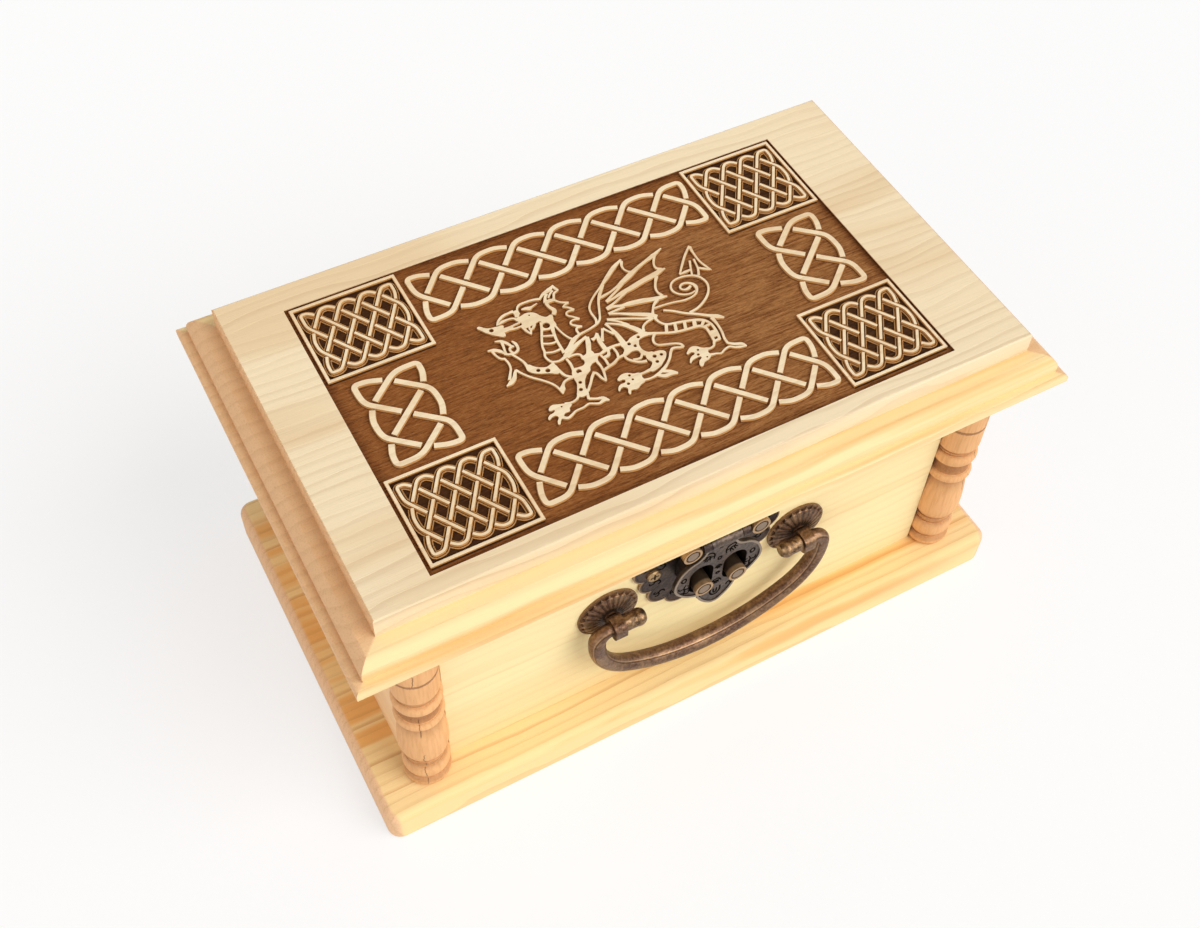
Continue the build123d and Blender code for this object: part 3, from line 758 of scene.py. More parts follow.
@dataclass(frozen=True)
class EngravedBlack:
    """The black that fills engraved lines, matt and a little uneven."""

    name: str = "engraved_black"
    black: Colour = (0.006, 0.005, 0.004)
    grime: Colour = (0.022, 0.016, 0.012)

    def material(self) -> bpy.types.Material:
        """The engraving's finished material.

        Returns:
            The material.
        """
        graph = Graph(self.name)
        x, y, z = graph.place()
        patch = graph.noise((x * 1.2, y * 1.2, z * 1.2), detail=3.0)
        return graph.dress(
            graph.mix(patch, self.black, self.grime), 0.7 + patch * 0.2, patch, relief=0.05, specular=0.0)


# ---------------------------------------------------------------- modelling helpers


def deselect() -> None:
    """Leaves edit mode and lets go of every object."""
    if bpy.context.object is not None and bpy.context.object.mode != "OBJECT":
        bpy.ops.object.mode_set(mode="OBJECT")
    bpy.ops.object.select_all(action="DESELECT")


def hold(*objects: bpy.types.Object) -> None:
    """Selects these objects and nothing else, the first one active."""
    deselect()
    for item in objects:
        item.select_set(True)
    bpy.context.view_layer.objects.active = objects[0]


@contextmanager
def editing(item: bpy.types.Object, kind: str = "VERT") -> Iterator[bpy.types.Mesh]:
    """Edit mode on one object.

    Args:
        item: the object.
        kind: what is selected: VERT, EDGE or FACE.

    Yields:
        The object's mesh.
    """
    hold(item)
    bpy.ops.object.mode_set(mode="EDIT")
    bpy.ops.mesh.select_mode(type=kind)
    yield item.data
    bpy.ops.object.mode_set(mode="OBJECT")


def pick(item: bpy.types.Object, kind: str, test: Callable[[object], bool]) -> None:
    """Selects vertices, edges or faces by a test of their place or normal.

    Args:
        item: an object in edit mode.
        kind: VERT, EDGE or FACE.
        test: called with each element; true to select it.
    """
    bpy.ops.mesh.select_all(action="DESELECT")
    bpy.ops.mesh.select_mode(type=kind)
    bpy.ops.object.mode_set(mode="OBJECT")
    elements = {"VERT": item.data.vertices, "EDGE": item.data.edges, "FACE": item.data.polygons}[kind]
    for element in elements:
        element.select = bool(test(element))
    bpy.ops.object.mode_set(mode="EDIT")


def settle(item: bpy.types.Object) -> bpy.types.Object:
    """Puts an object's place, turn and scale into its mesh.

    Args:
        item: the object.

    Returns:
        The same object, unturned, unscaled and at the origin.
    """
    hold(item)
    bpy.ops.object.transform_apply(location=True, rotation=True, scale=True)
    return item


def close_up(item: bpy.types.Object, distance: float = 0.01) -> None:
    """Merges doubled vertices and turns all faces outwards.

    Args:
        item: the object.
        distance: vertices nearer than this, in millimetres, become one.
    """
    with editing(item):
        bpy.ops.mesh.select_all(action="SELECT")
        bpy.ops.mesh.remove_doubles(threshold=distance * MM)
        bpy.ops.mesh.normals_make_consistent(inside=False)


def apply_modifier(item: bpy.types.Object, kind: str, **settings: object) -> None:
    """Adds a modifier, sets it and applies it.

    Args:
        item: the object.
        kind: the modifier's type.
        **settings: its properties.
    """
    hold(item)
    modifier = item.modifiers.new(kind.lower(), kind)
    for key, value in settings.items():
        setattr(modifier, key, value)
    bpy.ops.object.modifier_apply(modifier=modifier.name)


def flatten(item: bpy.types.Object, above: float, level: float) -> None:
    """Presses every vertex above one level, in millimetres, flat onto another.

    Args:
        item: the object.
        above: the height from which vertices are pressed, in millimetres.
        level: the height they are pressed to, in millimetres.
    """
    with editing(item):
        pick(item, "VERT", lambda vertex: vertex.co.z > above * MM)
        bpy.ops.transform.resize(value=(1.0, 1.0, 0.0), center_override=(0.0, 0.0, level * MM))


def flatten_front(item: bpy.types.Object, level: float) -> None:
    """Presses every vertex in front of the middle of an upright relief flat onto one level.

    Args:
        item: the object.
        level: the place they are pressed to along Y, in millimetres.
    """
    with editing(item):
        pick(item, "VERT", lambda vertex: vertex.co.y < (level + 0.15) * MM)
        bpy.ops.transform.resize(value=(1.0, 0.0, 1.0), center_override=(0.0, level * MM, 0.0))


def smooth(item: bpy.types.Object, angle: float = 35.0) -> None:
    """Shades an object smooth, with edges sharper than the angle in degrees kept crisp."""
    hold(item)
    bpy.ops.object.shade_smooth_by_angle(angle=math.radians(angle))


def copy_of(item: bpy.types.Object, name: str, shift: Vector = Vector()) -> bpy.types.Object:
    """A copy with its own mesh.

    Args:
        item: what to copy.
        name: the copy's name.
        shift: how far the copy is moved, in metres.

    Returns:
        The copy.
    """
    place = item.matrix_world.copy()
    twin = item.copy()
    twin.data = item.data.copy()
    twin.name = twin.data.name = name
    bpy.context.scene.collection.objects.link(twin)
    twin.parent = None
    twin.matrix_world = place
    twin.data.transform(Matrix.Translation(shift))
    return twin


def finish_piece(
    item: bpy.types.Object, material: bpy.types.Material, body: str, stands_for: Sequence[str] = ()
) -> bpy.types.Object:
    """Dresses a piece and sets it on its body.

    Args:
        item: the piece.
        material: its finish.
        body: the body it rides on.
        stands_for: the nodes it replaces.

    Returns:
        The piece.
    """
    settle(item)
    item.data.materials.clear()
    item.data.materials.append(material)
    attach(item, body)
    if stands_for:
        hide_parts(*stands_for)
    LOG.info("built %s with %d faces", item.name, len(item.data.polygons))
    return item


def dress_node(name: str, material: bpy.types.Material) -> None:
    """Gives a node that is carried over its finish.

    Args:
        name: the node's name.
        material: its finish.
    """
    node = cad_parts[name]
    node.data.materials.clear()
    node.data.materials.append(material)
    LOG.info("dressed %s", name)


# ---------------------------------------------------------------- carved strips


@dataclass(frozen=True)
class Bend:
    """One point of a strip's middle line: its place, its two handles and how wide the strip is there."""

    place: Point
    before: Point
    after: Point
    width: float = 1.0


@dataclass(frozen=True)
class Section:
    """The cross-section of a carved strip: a foot, a shoulder and a flat top, in millimetres."""

    foot_flare: float
    shoulder_drop: float
    top_inset: float
    height: float

    def outline(self, width: float) -> list[Point]:
        """The section's corners for a strip of a given width.

        Args:
            width: the strip's width, in millimetres.

        Returns:
            The corners, from one foot to the other.
        """
        foot, brow, top = (
            width / 2 + self.foot_flare, width / 2 - self.foot_flare / 3, width / 2 - self.top_inset)
        shoulder = self.height - self.shoulder_drop
        right = [(foot, 0.0), (brow, shoulder), (top, self.height)]
        return right + [(-across, up) for across, up in reversed(right)]


RIBBON = Section(foot_flare=0.28, shoulder_drop=0.16, top_inset=0.10, height=1.2)


def strips(
    name: str, lines: Iterable[Sequence[Bend]], outline: Sequence[Point], foot: float, steps: int = 8
) -> bpy.types.Object:
    """Sweeps one section along several flat lines.

    Args:
        name: the object's name.
        lines: the middle lines, each a list of bends in millimetres.
        outline: the section's corners in millimetres, across and up.
        foot: the level of the section's foot in millimetres.
        steps: how many straight steps each bend-to-bend run has.

    Returns:
        The swept mesh.
    """
    profile_data = bpy.data.curves.new(name + "_section", "CURVE")
    profile_data.dimensions = "3D"
    corners = profile_data.splines.new("POLY")
    corners.points.add(len(outline) - 1)
    for corner, (across, up) in zip(corners.points, outline):
        corner.co = (across * MM, up * MM, 0.0, 1.0)
    corners.use_cyclic_u = True
    profile = bpy.data.objects.new(name + "_section", profile_data)
    bpy.context.scene.collection.objects.link(profile)

    data = bpy.data.curves.new(name, "CURVE")
    data.dimensions, data.twist_mode = "3D", "Z_UP"
    data.bevel_mode, data.bevel_object = "OBJECT", profile
    data.use_fill_caps, data.resolution_u = True, steps
    for line in lines:
        spline = data.splines.new("BEZIER")
        spline.bezier_points.add(len(line) - 1)
        for point, bend in zip(spline.bezier_points, line):
            point.handle_left_type = point.handle_right_type = "FREE"
            point.co = (bend.place[0] * MM, bend.place[1] * MM, foot * MM)
            point.handle_left = (bend.before[0] * MM, bend.before[1] * MM, foot * MM)
            point.handle_right = (bend.after[0] * MM, bend.after[1] * MM, foot * MM)
            point.radius = bend.width
    swept = bpy.data.objects.new(name, data)
    bpy.context.scene.collection.objects.link(swept)
    bpy.context.view_layer.update()
    hold(swept)
    bpy.ops.object.convert(target="MESH")
    swept = bpy.context.object
    bpy.data.objects.remove(profile)
    return swept


def smooth_line(stroke: Sequence[tuple[float, float, float]]) -> list[Bend]:
    """Gives the points of a drawn stroke, each x, y and width, smooth handles.

    Args:
        stroke: the drawn points, each x, y and width.

    Returns:
        The points with their handles.
    """
    points = [Vector((x, y)) for x, y, _ in stroke]
    bends = []
    for index, (point, (_, _, width)) in enumerate(zip(points, stroke)):
        last, following = points[max(index - 1, 0)], points[min(index + 1, len(points) - 1)]
        heading = (following - last).normalized()
        before = point - heading * (point - last).length / 3
        after = point + heading * (following - point).length / 3
        bends.append(Bend(tuple(point), tuple(before), tuple(after), width))
    return bends


class Stop(Enum):
    """What a strand does at a point of its way."""

    OVER = "over"
    UNDER = "under"
    TURN = "turn"
    CORNER = "corner"


@dataclass(frozen=True)
class Waypoint:
    """A point of a strand's way: its place, the way it heads there and what it does there."""

    place: Vector
    heading: Vector
    stop: Stop


@dataclass(frozen=True)
class Plait:
    """A flat plait of one width, whose strands turn back at a straight border and have squared corners.

    Crossings sit on a diagonal net. Strands that rise to the right go over on odd rows and under
    on even ones.
    """

    columns: int
    rows: int
    step: Point
    border: Point
    width: float
    gap: float = 0.5
    corner_radius: float = 1.7

    def spot(self, column: int, row: int) -> Vector:
        """The place of a net point, with border points drawn in to where the strand turns.

        Args:
            column: its column, from 0 at the left to twice the columns.
            row: its row, from 0 at the back to twice the rows.

        Returns:
            The place, from the plait's middle.
        """
        reach_x = (self.columns - 1) * self.step[0] + self.border[0] - self.width / 2
        reach_y = (self.rows - 1) * self.step[1] + self.border[1] - self.width / 2
        x, y = (column - self.columns) * self.step[0], (self.rows - row) * self.step[1]
        return Vector((max(-reach_x, min(reach_x, x)), max(-reach_y, min(reach_y, y))))

    def inside(self, column: int, row: int) -> bool:
        """Whether a net point is a crossing, not a turn at the border."""
        return 0 < column < 2 * self.columns and 0 < row < 2 * self.rows

    def walk(self, column: int, row: int, go: tuple[int, int]) -> list[Waypoint]:
        """Follows a strand from a crossing to the next one.

        Args:
            column: the crossing's column.
            row: the crossing's row.
            go: the way it leaves, in columns and rows.

        Returns:
            The waypoints after the crossing; the last one stops short of the strand that goes over.
        """
        found: list[Waypoint] = []
        at, way = (column, row), go
        while True:
            at = (at[0] + way[0], at[1] + way[1])
            place = self.spot(*at)
            if self.inside(*at):
                found.append(self.under_end(place, way, found))
                return found
            on_side = at[0] in (0, 2 * self.columns)
            heading = Vector((0, -way[1])) if on_side else Vector((way[0], 0))
            if found and found[-1].stop is Stop.TURN:
                found.extend(self.corner(found[-1], place, heading))
            found.append(Waypoint(place, heading, Stop.TURN))
            way = (-way[0], way[1]) if on_side else (way[0], -way[1])

    def corner(self, last: Waypoint, place: Vector, heading: Vector) -> list[Waypoint]:
        """The two ends of the rounded corner between a turn on one border and a turn on the next.

        Args:
            last: the turn before the corner.
            place: where the next turn is.
            heading: the way the strand goes there.

        Returns:
            The corner's two ends.
        """
        tip = Vector((place.x, last.place.y)) if last.heading.x else Vector((last.place.x, place.y))
        start = tip - last.heading * self.corner_radius
        end = tip + heading * self.corner_radius
        return [Waypoint(start, last.heading, Stop.CORNER), Waypoint(end, heading, Stop.CORNER)]

    def under_end(self, crossing: Vector, way: tuple[int, int], found: list[Waypoint]) -> Waypoint:
        """The cut end of a strand that dives under another.

        Args:
            crossing: the crossing's place.
            way: the way the strand travels, in columns and rows.
            found: the waypoints before it, empty where it comes straight from the last crossing.

        Returns:
            The end, held back by half the other strand's width and the gap.
        """
        heading = Vector((way[0] * self.step[0], -way[1] * self.step[1])).normalized()
        angle = 2 * math.atan2(self.step[1], self.step[0])
        if found:
            chord = crossing - found[-1].place
            steeper = 1.35
            slope = (
                Vector((chord.x, chord.y * steeper)) if found[-1].heading.x
                else Vector((chord.x * steeper, chord.y)))
            heading = slope.normalized()
        back = self.width / 2 / math.sin(angle) + self.gap
        return Waypoint(crossing - heading * back, heading, Stop.UNDER)

    def strand(self, column: int, row: int) -> list[Bend]:
        """The visible run of the strand that goes over at a crossing.

        Args:
            column: the crossing's column.
            row: the crossing's row.

        Returns:
            The strand's curve points.
        """
        lean = -1 if row % 2 else 1
        ahead = self.walk(column, row, (1, lean))
        behind = self.walk(column, row, (-1, -lean))
        heading = Vector((self.step[0], -lean * self.step[1])).normalized()
        back = [Waypoint(point.place, -point.heading, point.stop) for point in reversed(behind)]
        way = [*back, Waypoint(self.spot(column, row), heading, Stop.OVER), *ahead]
        return self.bends(way)

    def bends(self, way: Sequence[Waypoint]) -> list[Bend]:
        """Turns waypoints into curve points with handles.

        Args:
            way: the strand's waypoints in order.

        Returns:
            Its curve points.
        """
        before, after = [Vector((0, 0))] * len(way), [Vector((0, 0))] * len(way)
        for index, (first, second) in enumerate(zip(way, way[1:])):
            out, back = self.handles(first, second)
            after[index], before[index + 1] = first.heading * out, second.heading * -back
        return [
            Bend(tuple(point.place), tuple(point.place + before[index]), tuple(point.place + after[index]))
            for index, point in enumerate(way)
        ]

    def handles(self, first: Waypoint, second: Waypoint) -> tuple[float, float]:
        """How long the two handles between neighbouring waypoints are.

        Args:
            first: the waypoint that the run leaves.
            second: the waypoint that it reaches.

        Returns:
            The length of the handle at each.
        """
        run = second.place - first.place
        round_corner = 0.5523
        if first.stop is Stop.CORNER and second.stop is Stop.CORNER:
            return self.corner_radius * round_corner, self.corner_radius * round_corner
        for turn, other, swap in ((first, second, False), (second, first, True)):
            if turn.stop is Stop.TURN and other.stop is Stop.OVER:
                across = abs(run.y) if turn.heading.x else abs(run.x)
                lead = abs(other.heading.y) if turn.heading.x else abs(other.heading.x)
                flat = (abs(run.x) if turn.heading.x else abs(run.y)) * 0.5
                steep = 0.9 * across / lead
                return (steep, flat) if swap else (flat, steep)
        return run.length / 3, run.length / 3

    def strands(self, middle: Point) -> list[list[Bend]]:
        """Every visible run of the plait.

        Args:
            middle: where the plait's middle is, in millimetres.

        Returns:
            One list of bends for each crossing.
        """
        crossings = [
            (column, row)
            for row in range(1, 2 * self.rows)
            for column in range(1, 2 * self.columns)
            if (column + row) % 2
        ]
        shift = Vector(middle)
        move = lambda point: tuple(Vector(point) + shift)
        return [
            [Bend(move(bend.place), move(bend.before), move(bend.after)) for bend in self.strand(column, row)]
            for column, row in crossings
        ]


# ---------------------------------------------------------------- the carved lid panel


@dataclass(frozen=True)
class FieldLayout:
    """Where things are on the sunk field of the lid's panel, in millimetres."""

    floor: float
    top: float
    middle: Point
    half_length: float
    half_depth: float
    art_middle: Point = (-3.85, -1.9)
    tile_place: Point = (88.0, 46.0)
    tile_half: Point = (22.15, 20.45)
    chain_rise: float = 49.2
    side_place: float = 89.4
    side_rise: float = -0.5


def field_layout() -> FieldLayout:
    """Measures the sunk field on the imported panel.

    Returns:
        The field's layout.
    """
    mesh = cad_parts["lid_top_panel"].data
    top = max(vertex.co.z for vertex in mesh.vertices) / MM
    level = [face for face in mesh.polygons if face.normal.z > 0.9 and face.center.z / MM < top - 0.5]
    sunk = [mesh.vertices[index].co / MM for face in level for index in face.vertices]
    left, right = min(point.x for point in sunk), max(point.x for point in sunk)
    front, back = min(point.y for point in sunk), max(point.y for point in sunk)
    floor = min(point.z for point in sunk)
    return FieldLayout(
        floor, top, ((left + right) / 2, (front + back) / 2), (right - left) / 2, (back - front) / 2)


FIELD = field_layout()


@dataclass
class LidCarving:
    """The relief left standing in the lid's sunk field: plaits, corner tiles and their frames."""

    material: bpy.types.Material
    chain: Plait = Plait(columns=8, rows=2, step=(8.55, 9.5), border=(3.95, 3.85), width=2.3, gap=1.0)
    side: Plait = Plait(columns=2, rows=3, step=(10.4, 8.85), border=(3.9, 4.2), width=2.45, gap=1.05)
    tile: Plait = Plait(columns=5, rows=3, step=(4.28, 6.57), border=(2.4, 3.7), width=1.3, gap=0.7,
                        corner_radius=1.0)
    frame_width: float = 1.4
    echo_inner: float = 0.5
    echo_outer: float = 0.95
    echo_height: float = 0.5

    def plait(self, name: str, plait: Plait, middle: Point) -> bpy.types.Object:
        """Carves one plait.

        Args:
            name: the piece's name.
            plait: its pattern.
            middle: where its middle is.

        Returns:
            The finished piece.
        """
        item = strips(name, plait.strands(middle), RIBBON.outline(plait.width), FIELD.floor)
        close_up(item)
        smooth(item, 30)
        return finish_piece(item, self.material, "lid")

    def echo(self, name: str, middle: Point) -> bpy.types.Object:
        """The thin low lines that run beside a tile's strands, where two cuts of the gouge meet.

        Args:
            name: the name of the lines.
            middle: the middle of the tile.

        Returns:
            The finished lines.
        """
        lines = self.tile.strands(middle)
        outer, inner = self.tile.width / 2 + self.echo_outer, self.tile.width / 2 + self.echo_inner
        low, high = 0.0, self.echo_height
        wide = strips(
            name, lines, [(outer, low), (outer, high), (-outer, high), (-outer, low)], FIELD.floor, 6)
        cutter_outline = [(inner, low - 1), (inner, high + 1), (-inner, high + 1), (-inner, low - 1)]
        cutter = strips(name + "_cut", lines, cutter_outline, FIELD.floor, 6)
        for item in (wide, cutter):
            close_up(item)
        apply_modifier(wide, "BOOLEAN", operation="DIFFERENCE", object=cutter, solver="EXACT", use_self=True)
        bpy.data.objects.remove(cutter)
        return finish_piece(wide, self.material, "lid")

    def tile_frame(self, name: str, middle: Point) -> bpy.types.Object:
        """The square band round a tile.

        Args:
            name: the name of the band.
            middle: the middle of the tile.

        Returns:
            The finished band.
        """
        deselect()
        half = FIELD.tile_half
        bpy.ops.mesh.primitive_plane_add(
            size=2 * MM, location=(middle[0] * MM, middle[1] * MM, FIELD.floor * MM))
        item = bpy.context.object
        item.name = item.data.name = name
        item.scale = (half[0], half[1], 1.0)
        settle(item)
        with editing(item, "FACE"):
            bpy.ops.mesh.select_all(action="SELECT")
            bpy.ops.mesh.inset(thickness=self.frame_width * MM, depth=0.0)
            bpy.ops.mesh.delete(type="FACE")
            bpy.ops.mesh.select_all(action="SELECT")
            bpy.ops.mesh.extrude_region_move(
                TRANSFORM_OT_translate={"value": (0.0, 0.0, RIBBON.height * MM)})
        close_up(item)
        apply_modifier(item, "BEVEL", width=0.22 * MM, segments=2, limit_method="ANGLE")
        return finish_piece(item, self.material, "lid")

    def build(self) -> None:
        """Carves every plait, tile and frame."""
        across, down = FIELD.art_middle
        self.plait("front_chain_knot", self.chain, (across, down - FIELD.chain_rise))
        self.plait("back_chain_knot", self.chain, (across, down + FIELD.chain_rise))
        self.plait("left_side_knot", self.side, (across - FIELD.side_place, down + FIELD.side_rise))
        self.plait("right_side_knot", self.side, (across + FIELD.side_place, down + FIELD.side_rise))
        first = (across - FIELD.tile_place[0], down - FIELD.tile_place[1])
        pieces = [self.plait("front_left_tile_knot", self.tile, first),
                  self.echo("front_left_tile_lines", first),
                  self.tile_frame("front_left_tile_frame", first)]
        for end, side, steps in (
                ("front", "right", (1, 0)), ("back", "left", (0, 1)), ("back", "right", (1, 1))):
            shift = Vector((2 * steps[0] * FIELD.tile_place[0], 2 * steps[1] * FIELD.tile_place[1], 0.0)) * MM
            for piece in pieces:
                twin = copy_of(piece, piece.name.replace("front_left", f"{end}_{side}"), shift)
                finish_piece(twin, self.material, "lid")


# ---------------------------------------------------------------- the dragon


@dataclass(frozen=True)
class Patch:
    """A solid area of the dragon: its outline and the small round holes in it, as x, y and radius."""

    outline: tuple[Point, ...]
    holes: tuple[tuple[float, float, float], ...] = ()


Stroke = tuple[tuple[float, float, float], ...]


@dataclass(frozen=True)
class DragonPart:
    """A part of the dragon as drawn: strokes, each a run of x, y and width, and solid patches."""

    strokes: tuple[Stroke, ...] = ()
    patches: tuple[Patch, ...] = ()


HEAD = DragonPart(
    strokes=(
        # tongue, then the snout and its nostril
        ((-45.8, 17.2, 2.2), (-42.4, 17.2, 1.8), (-40.8, 17.8, 0.8), (-37.6, 18.1, 0.7)),
        ((-43.0, 16.7, 1.2), (-40.6, 16.1, 0.8), (-37.6, 16.1, 0.7)),
        ((-46.4, 20.6, 0.5), (-44.9, 22.4, 1.0), (-42.4, 24.0, 1.1), (-39.4, 24.5, 0.9), (-37.4, 24.4, 1.4)),
        ((-37.2, 24.4, 1.6), (-36.8, 22.8, 2.1), (-37.6, 21.0, 1.3)),
        ((-45.8, 20.7, 0.5), (-43.6, 21.5, 1.2), (-41.2, 21.6, 0.7), (-39.0, 21.1, 0.8), (-38.0, 19.6, 1.0)),
        # brow, eye and ear
        ((-35.9, 22.0, 0.6), (-35.7, 24.6, 0.7), (-34.0, 26.4, 0.9), (-31.0, 26.7, 0.8), (-27.6, 26.4, 0.9),
         (-25.4, 25.7, 1.0)),
        ((-34.2, 23.9, 0.4), (-32.6, 23.6, 1.4), (-31.2, 23.1, 1.8), (-29.8, 23.4, 0.7), (-27.2, 24.1, 0.35)),
        ((-25.6, 25.4, 0.7), (-22.8, 27.4, 1.2), (-19.6, 28.4, 1.9), (-17.1, 29.9, 0.5)),
        ((-17.4, 29.6, 0.6), (-17.2, 27.9, 1.3), (-16.4, 26.6, 0.5)),
        ((-16.6, 26.7, 0.6), (-18.8, 25.8, 0.9), (-19.8, 24.0, 0.8), (-20.6, 22.7, 1.3)),
        ((-24.1, 22.8, 1.6), (-23.0, 25.3, 1.0), (-21.6, 26.8, 1.2)),
        ((-22.0, 24.6, 0.6), (-20.2, 26.4, 0.7), (-18.6, 27.4, 0.9)),
        ((-24.4, 22.8, 1.5), (-21.8, 23.0, 1.6), (-20.4, 22.6, 1.2)),
        # back of the jaw and the beard
        ((-24.0, 22.6, 1.3), (-23.8, 20.2, 1.2), (-22.9, 17.6, 1.8), (-24.2, 15.8, 1.4)),
        ((-38.0, 16.0, 1.0), (-37.3, 12.8, 1.0), (-36.4, 10.6, 0.5)),
        ((-36.4, 10.8, 0.6), (-35.5, 12.8, 0.9), (-34.4, 13.2, 0.9), (-33.0, 14.9, 1.2)),
        ((-36.0, 12.8, 0.7), (-35.4, 14.6, 0.8)),
    ),
    patches=(
        Patch(((-53.7, 23.2), (-50.4, 21.0), (-46.4, 20.1), (-44.2, 19.5), (-44.7, 18.2), (-45.3, 16.0),
               (-45.8, 14.3), (-48.6, 15.8), (-51.0, 18.2), (-52.8, 20.8)), ((-49.4, 19.3, 0.95),)),
        Patch(((-38.6, 20.1), (-36.0, 20.9), (-33.0, 21.3), (-30.4, 20.0), (-28.8, 17.4), (-27.2, 16.0),
               (-25.0, 16.2), (-25.5, 13.0), (-25.8, 10.2), (-27.8, 9.9), (-31.4, 10.5), (-30.2, 14.8),
               (-33.6, 14.6), (-38.3, 15.1), (-37.3, 17.4)), ((-29.3, 12.0, 1.5), (-32.8, 19.8, 0.35))),
    ),
)

NECK = DragonPart(
    strokes=(
        ((-30.4, 14.4, 1.0), (-31.8, 11.0, 0.9), (-34.0, 6.6, 0.9), (-35.6, 2.8, 0.8), (-36.0, 0.4, 0.9),
         (-36.9, -2.0, 0.8), (-36.4, -4.6, 0.9), (-35.2, -6.2, 1.0)),
        ((-27.6, 10.4, 1.6), (-28.6, 6.6, 1.1), (-29.2, 3.0, 1.0), (-29.4, -0.4, 1.0), (-29.6, -3.6, 1.2)),
        ((-31.6, 10.6, 0.8), (-28.6, 9.9, 0.9)),
        ((-33.2, 7.8, 0.7), (-31.0, 6.9, 0.8), (-29.2, 6.2, 0.9)),
        ((-34.8, 4.3, 0.8), (-32.0, 3.0, 0.8), (-29.4, 2.8, 0.8)),
        ((-36.0, -0.3, 0.8), (-33.0, -1.3, 0.7), (-29.6, -1.2, 0.9)),
        ((-36.2, -5.4, 0.8), (-33.2, -6.3, 0.8), (-29.6, -5.4, 1.4)),
        ((-26.3, 10.4, 0.8), (-25.7, 6.4, 0.7), (-24.8, 3.4, 0.7), (-23.6, 1.4, 0.9), (-22.4, 0.8, 1.2)),
        # ruffled mane
        ((-20.6, 22.8, 1.0), (-18.9, 20.6, 0.7), (-16.0, 18.7, 1.1)),
        ((-16.1, 18.9, 1.0), (-17.8, 18.4, 0.7), (-19.1, 17.7, 0.6)),
        ((-19.1, 17.8, 0.6), (-17.2, 16.4, 0.9), (-15.8, 14.4, 1.0)),
        ((-15.9, 14.6, 1.0), (-18.8, 14.6, 0.7), (-19.6, 13.2, 0.7), (-18.0, 11.4, 0.8), (-16.1, 9.2, 0.9)),
        ((-16.2, 9.3, 0.9), (-19.0, 9.8, 0.7), (-20.4, 8.6, 0.7), (-19.2, 6.8, 1.0), (-17.1, 5.2, 0.9)),
        ((-17.2, 5.4, 0.9), (-19.6, 5.2, 0.8), (-20.0, 2.3, 0.9)),
    ),
)

